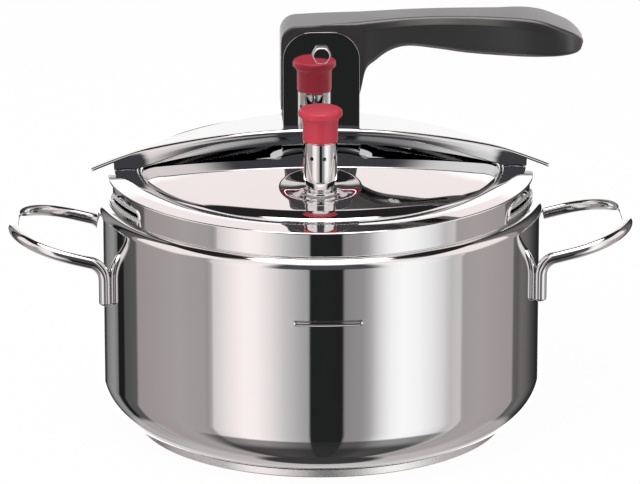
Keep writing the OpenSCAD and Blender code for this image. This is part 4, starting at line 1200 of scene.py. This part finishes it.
class COOKER_OT_valve(bpy.types.Operator):
    """Turn the steam valve's base, its pierced tube and its red cap"""
    bl_idname = "cooker.valve"
    bl_label = "Steam valve"

    def execute(self, context):
        sizes = context.scene.cooker_valve
        self.base(sizes)
        self.tube(sizes)
        self.cap(sizes)
        return {"FINISHED"}

    def turned_here(self, name, corners):
        """A piece turned about the valve's axis, with heights from the dish's floor."""
        raised = [(x, self.floor_z() + z, radius) for x, z, radius in corners]
        return turned(name, rounded(raised, step=math.radians(12)), centre=STEAM_VALVE.xy)

    def floor_z(self):
        """Height of the dish's floor, on which the valve stands."""
        return bpy.context.scene.cooker_lid.dish_z

    def base(self, sizes):
        """The base with its flange, its neck and the stem through the lid."""
        edge, crease = 0.25 * MM, 0.1 * MM
        bead_z = sizes.flange_z + 0.5 * MM
        bead_top = bead_z + 0.8 * MM
        bead_r = sizes.neck_r + 0.6 * MM
        boss_top = sizes.neck_z + sizes.boss_h
        piece = self.turned_here("valve_foot", [
            (sizes.bore_r, -sizes.stem_z, 0),
            (sizes.stem_r, -sizes.stem_z, edge),
            (sizes.stem_r, sizes.washer_h, 0),
            (sizes.flange_r, sizes.washer_h, edge),
            (sizes.flange_r, sizes.flange_z, edge),
            (sizes.neck_r, sizes.flange_z, edge),
            (sizes.neck_r, bead_z, crease),
            (bead_r, bead_z, edge),
            (bead_r, bead_top, edge),
            (sizes.neck_r, bead_top, crease),
            (sizes.neck_r, sizes.neck_z, edge),
            (sizes.boss_r, sizes.neck_z, 0),
            (sizes.boss_r, boss_top, edge),
            (sizes.bore_r, boss_top, 0),
            (sizes.bore_r, -sizes.stem_z, 0)])
        finish(piece, "lid", "polished_steel", ["valve_base"])

    def tube(self, sizes):
        """The tube with its tapered foot and the holes all round."""
        foot_r = sizes.tube_r - sizes.taper
        inner = sizes.tube_r - sizes.tube_wall
        guide_r = sizes.tube_r - sizes.step_w
        boss_top = sizes.neck_z + sizes.boss_h
        piece = self.turned_here("valve_barrel", [
            (sizes.boss_r, sizes.neck_z, 0),
            (foot_r, sizes.neck_z, 0.3 * MM),
            (sizes.tube_r, sizes.neck_z + sizes.taper_h, 2.5 * MM),
            (sizes.tube_r, sizes.step_z, 0.3 * MM),
            (guide_r, sizes.step_z, 0),
            (guide_r, sizes.guide_z, 0.2 * MM),
            (inner, sizes.guide_z, 0),
            (inner, boss_top, 0),
            (sizes.boss_r, boss_top, 0),
            (sizes.boss_r, sizes.neck_z, 0)])
        middle = Vector((*STEAM_VALVE.xy, self.floor_z() + sizes.hole_z))
        for k in range(sizes.holes // 2):
            turn = (k + sizes.hole_phase) * math.tau / sizes.holes
            direction = (math.sin(turn), -math.cos(turn), 0)
            cut(piece, pin("hole_cutter", middle, direction, sizes.hole_r,
                           depth=3 * sizes.tube_r, vertices=24))
        finish(piece, "lid", "polished_steel", ["valve_tube"])

    def cap(self, sizes):
        """The cap with its skirt, the bead above it and the domed head."""
        skirt_top = sizes.cap_z + sizes.skirt_h
        hollow_top = sizes.cap_z + sizes.hollow_h
        bead_r, bead_top = sizes.skirt_r + 0.35 * MM, skirt_top + 0.9 * MM
        inner = sizes.tube_r - sizes.step_w + 0.3 * MM
        crown_z = sizes.cap_top - sizes.crown_drop
        under_z = crown_z - 1.6 * sizes.head_edge
        head_x = sizes.head_r - sizes.head_edge
        crown_r = (head_x ** 2 + sizes.crown_drop ** 2) / 2 / sizes.crown_drop
        crown = [(x, crown_z + sizes.crown_drop - x * x / 2 / crown_r, 0)
                 for x in (head_x * part for part in (0.8, 0.6, 0.4, 0.2, 0))]
        piece = self.turned_here("valve_knob", [
            (0, hollow_top, 0),
            (inner, hollow_top, 0),
            (inner, sizes.cap_z, 0.2 * MM),
            (sizes.skirt_r, sizes.cap_z, 0.4 * MM),
            (sizes.skirt_r, skirt_top, 0.15 * MM),
            (bead_r, skirt_top, 0.15 * MM),
            (bead_r, bead_top, 1.3 * MM),
            (sizes.head_r, under_z, 0.7 * MM),
            (sizes.head_r, crown_z, sizes.head_edge * 0.85)] + crown)
        finish(piece, "valve", "red_plastic", ["valve_cap"])


class COOKER_OT_cad_finishes(bpy.types.Operator):
    """Give the pieces that keep their CAD shape their finishes"""
    bl_idname = "cooker.cad_finishes"
    bl_label = "Finishes of the plain pieces"
    looks = {
        "polished_steel": ["safety_valve_body", "safety_valve_cap"],
        "satin_steel": ["pivot_bush", "lever_screws", "valve_nut", "valve_spring", "valve_plunger",
                        "safety_valve_nut", "safety_valve_spring"],
        "aluminium": ["base_core", "lever_core"],
        "silicone": ["lid_gasket", "valve_washer", "valve_seal", "safety_valve_washer"],
        "red_plastic": ["safety_valve_pin"],
    }

    def execute(self, context):
        for look, nodes in self.looks.items():
            for node in nodes:
                coat(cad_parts[node], look)
        return {"FINISHED"}


# ------------------------------------------------------------------ studio

# The studio round the object on each side: degrees from the front, brightness, and warmth,
# where 1 is a neutral grey. A black card stands at the front with bright panels beside it,
# then grey walls, black cards and a white backdrop.
LEFT_TONES = [
    (0, 0.020, 0.95), (7.0, 0.018, 0.95), (8.0, 0.41, 1.0), (12, 0.48, 1.02), (16.5, 0.58, 1.03),
    (20.6, 0.68, 1.04), (24, 0.80, 1.05), (29, 0.93, 1.08), (35, 1.07, 1.09), (42, 1.10, 1.11),
    (50, 0.95, 1.08), (55, 0.83, 1.06), (58.4, 0.74, 1.07), (59.8, 0.46, 1.08),
    (62, 0.36, 1.08), (64.5, 0.40, 1.06), (80, 0.42, 1.09), (95, 0.385, 1.12),
    (110.5, 0.355, 1.13), (112.5, 0.115, 1.08), (123.6, 0.095, 1.0), (124.6, 0.015, 1.0),
    (130.8, 0.015, 1.0), (132.2, 0.22, 1.02), (137, 0.34, 1.02), (141, 0.31, 1.02),
    (146, 0.24, 1.02), (150.5, 0.03, 1.0), (152.8, 0.03, 1.0), (153.8, 1.28, 1.0),
]
RIGHT_TONES = [
    (0, 0.020, 0.95), (9.3, 0.018, 1.0), (10.6, 0.29, 1.03), (19.7, 0.34, 1.04),
    (23.9, 0.48, 1.03), (26, 0.64, 1.02), (28.1, 0.79, 1.01), (30.3, 0.91, 1.01),
    (34.6, 1.10, 1.01), (41, 1.20, 1.01), (50, 1.14, 1.01), (59, 0.95, 1.01),
    (64, 0.81, 1.02), (66.6, 0.68, 1.02), (69, 0.61, 1.02), (71.5, 0.64, 1.04),
    (74.8, 0.67, 1.04), (76.4, 0.41, 1.07), (90, 0.42, 1.11), (100, 0.40, 1.12),
    (109.8, 0.375, 1.10), (115.6, 0.37, 1.09), (117, 0.14, 1.06), (121, 0.12, 1.08),
    (125.7, 0.17, 1.08), (131, 0.145, 1.05), (135.5, 0.11, 1.03), (141, 0.06, 1.0),
    (148, 0.025, 1.0), (152.8, 0.025, 1.0), (153.8, 1.28, 1.0),
]
BRIGHTEST = 1.28
WHITE = (1, 1, 1, 1)

# The other tones of the studio, as shares of the brightest card.
CEILING = tuple(channel / BRIGHTEST for channel in (1.10, 1.0, 0.99))
GROUND = tuple(channel / BRIGHTEST for channel in (0.62, 0.58, 0.58))
SLATE = (0.06, 0.06, 0.07)
FORE_GROUND = (0.03, 0.028, 0.030)
GAP = (0.015, 0.015, 0.015)
NADIR = (0.04, 0.04, 0.04)


class COOKER_OT_studio(bpy.types.Operator):
    """Set up the floor, the soft light and the camera"""
    bl_idname = "cooker.studio"
    bl_label = "Studio"

    def execute(self, context):
        studio = context.scene.cooker_studio
        self.floor(studio)
        self.world(context.scene, studio)
        self.lamp(studio)
        self.camera(context.scene, studio)
        context.scene.view_settings.view_transform = "Standard"
        return {"FINISHED"}

    def floor(self, studio):
        """A wide floor that looks nearly white and isn't mirrored in the steel."""
        deselect_all()
        bpy.ops.mesh.primitive_plane_add(size=studio.floor_size, location=(0, 0, FLOOR_Z))
        floor = bpy.context.object
        floor.name = "studio_floor"
        bpy.ops.object.transform_apply()
        floor.visible_glossy = False
        material, shader = new_shader("studio_floor")
        rays = shader.node("ShaderNodeLightPath")
        matt = shader.node("ShaderNodeBsdfDiffuse", Color=(*studio.floor_colour, 1))
        white = shader.node("ShaderNodeEmission", Color=WHITE, Strength=1.0)
        camera = shader.value(rays.outputs["Is Camera Ray"])
        through = shader.value(rays.outputs["Is Transmission Ray"])
        factor = camera.maths("MAXIMUM", camera, through) * studio.floor_white
        seen = shader.mixed(factor, matt.outputs[0], white.outputs[0])
        shader.node("ShaderNodeOutputMaterial", Surface=seen)
        floor.data.materials.append(material)

    def world(self, scene, studio):
        """Soft light from all round, a white background and what the steel mirrors."""
        world = bpy.data.worlds.new("studio")
        scene.world = world
        world.use_nodes = True
        shader = Shader(world.node_tree)
        rays = shader.node("ShaderNodeLightPath")
        tone, soft_box = self.surroundings(shader)
        mirrored = shader.light(tone, soft_box * (studio.soft_box - BRIGHTEST) + BRIGHTEST)
        soft = shader.light(WHITE, studio.fill)
        lit = shader.mixed(rays.outputs["Is Glossy Ray"], soft, mirrored)
        seen = shader.mixed(rays.outputs["Is Camera Ray"], lit, shader.light(WHITE, 1.0))
        shader.node("ShaderNodeOutputWorld", Surface=seen)

    def surroundings(self, shader):
        """The tone of what stands round the object and the soft box's share, by direction."""
        ray = shader.node("ShaderNodeTexCoord").outputs["Generated"]
        parts = shader.node("ShaderNodeSeparateXYZ", Vector=ray)
        x, y, z = (shader.value(parts.outputs[axis]) for axis in "XYZ")
        azimuth = x.maths("ARCTAN2", x, 0 - y) * (180 / math.pi)
        height = z.maths("ARCSINE", z) * (180 / math.pi)
        aside = azimuth.maths("ABSOLUTE", azimuth)
        fade = shader.fade

        # The cards, with the ceiling above them. The backdrop behind is higher than the cards.
        left, right = (shader.node(
            "ShaderNodeValToRGB", Fac=aside / 180,
            ramp=[(turn / 180, tone / BRIGHTEST, warmth) for turn, tone, warmth in tones])
            for tones in (LEFT_TONES, RIGHT_TONES))
        tone = shader.mix(azimuth.maths("GREATER_THAN", azimuth, 0),
                          left.outputs["Color"], right.outputs["Color"])
        card_top = (shader.blend(aside, 50, 80, 26, -4)
                    + fade(aside, 107, 113) * fade(aside, 156, 150) * 56)
        backdrop = fade(aside, 150, 156) * fade(height, 27, 23.5)
        tone = shader.mix(fade(height - card_top, 0, 16) * (1 - backdrop), tone, CEILING)

        # A slate card at the front, and at the sides and behind a dark gap below the soft box.
        fore = fade(aside, 33, 21) * fade(height, -2, 2) * fade(height, 52, 46)
        tone = shader.mix(fore, tone, SLATE)
        gap = fade(height, 47, 49) * fade(height, 73, 70) * fade(aside, 50, 80)
        tone = shader.mix(gap, tone, GAP)

        # The ground, dark at the front and grey behind, and a dark patch right below.
        below = fade(height, -33, -38) * 0.74 + fade(height, -44, -58) * 0.22
        tone = shader.mix(below * fade(aside, 80, 62), tone, FORE_GROUND)
        tone = shader.mix(below * fade(aside, 95, 120), tone, GROUND)
        lean = math.radians(4)
        under = y * math.sin(lean) - z * math.cos(lean)
        nadir = fade(under, math.cos(math.radians(17)), math.cos(math.radians(12)))
        tone = shader.mix(nadir, tone, NADIR)
        return tone, fade(height, 60, 68) * (1 - gap)

    def lamp(self, studio):
        """A large lamp above, in front at the left, that isn't mirrored in the steel."""
        deselect_all()
        place = Vector((-0.7, -0.9, 1.9))
        aim = Vector((0, 0, 0.1))
        bpy.ops.object.light_add(type="AREA", location=place)
        lamp = bpy.context.object
        lamp.name = "key_lamp"
        lamp.rotation_euler = (place - aim).to_track_quat("Z", "Y").to_euler()
        lamp.data.size = studio.key_size
        lamp.data.energy = studio.key_power
        lamp.visible_glossy = False

    def camera(self, scene, studio):
        """A camera with a long lens, turned towards the cooker's axis."""
        deselect_all()
        back = Vector((math.sin(studio.azimuth) * math.cos(studio.elevation),
                       -math.cos(studio.azimuth) * math.cos(studio.elevation),
                       math.sin(studio.elevation)))
        target = Vector((0, 0, studio.target_z))
        bpy.ops.object.camera_add(location=target + back * studio.distance,
                                  rotation=back.to_track_quat("Z", "Y").to_euler())
        camera = bpy.context.object
        camera.data.lens = studio.lens
        camera.data.sensor_width = 36
        camera.data.shift_x = studio.shift_x
        camera.data.clip_end = 30
        scene.camera = camera


class COOKER_PT_panel(bpy.types.Panel):
    """Buttons for the cooker's pieces"""
    bl_idname = "COOKER_PT_panel"
    bl_label = "Pressure cooker"
    bl_space_type = "VIEW_3D"
    bl_region_type = "UI"
    bl_category = "Cooker"

    def draw(self, context):
        for operator in OPERATORS:
            self.layout.operator(operator.bl_idname)
        for group_name, group in GROUPS.items():
            box = self.layout.box()
            box.label(text=group.__doc__)
            for name in group.__annotations__:
                box.prop(getattr(context.scene, group_name), name)


OPERATORS = [
    COOKER_OT_studio,
    COOKER_OT_pot,
    COOKER_OT_base,
    COOKER_OT_handles,
    COOKER_OT_bridge,
    COOKER_OT_lid,
    COOKER_OT_bracket,
    COOKER_OT_lever,
    COOKER_OT_valve,
    COOKER_OT_cad_finishes,
]


def register():
    for group_name, group in GROUPS.items():
        bpy.utils.register_class(group)
        setattr(bpy.types.Scene, group_name, bpy.props.PointerProperty(type=group))
    for operator in OPERATORS:
        bpy.utils.register_class(operator)
    bpy.utils.register_class(COOKER_PT_panel)


def unregister():
    bpy.utils.unregister_class(COOKER_PT_panel)
    for operator in reversed(OPERATORS):
        bpy.utils.unregister_class(operator)
    for group_name, group in reversed(GROUPS.items()):
        delattr(bpy.types.Scene, group_name)
        bpy.utils.unregister_class(group)


def main():
    """Registers the add-on and makes every piece and the studio."""
    register()
    for operator in OPERATORS:
        group, name = operator.bl_idname.split(".")
        getattr(getattr(bpy.ops, group), name)()


if __name__ == "__main__":
    main()
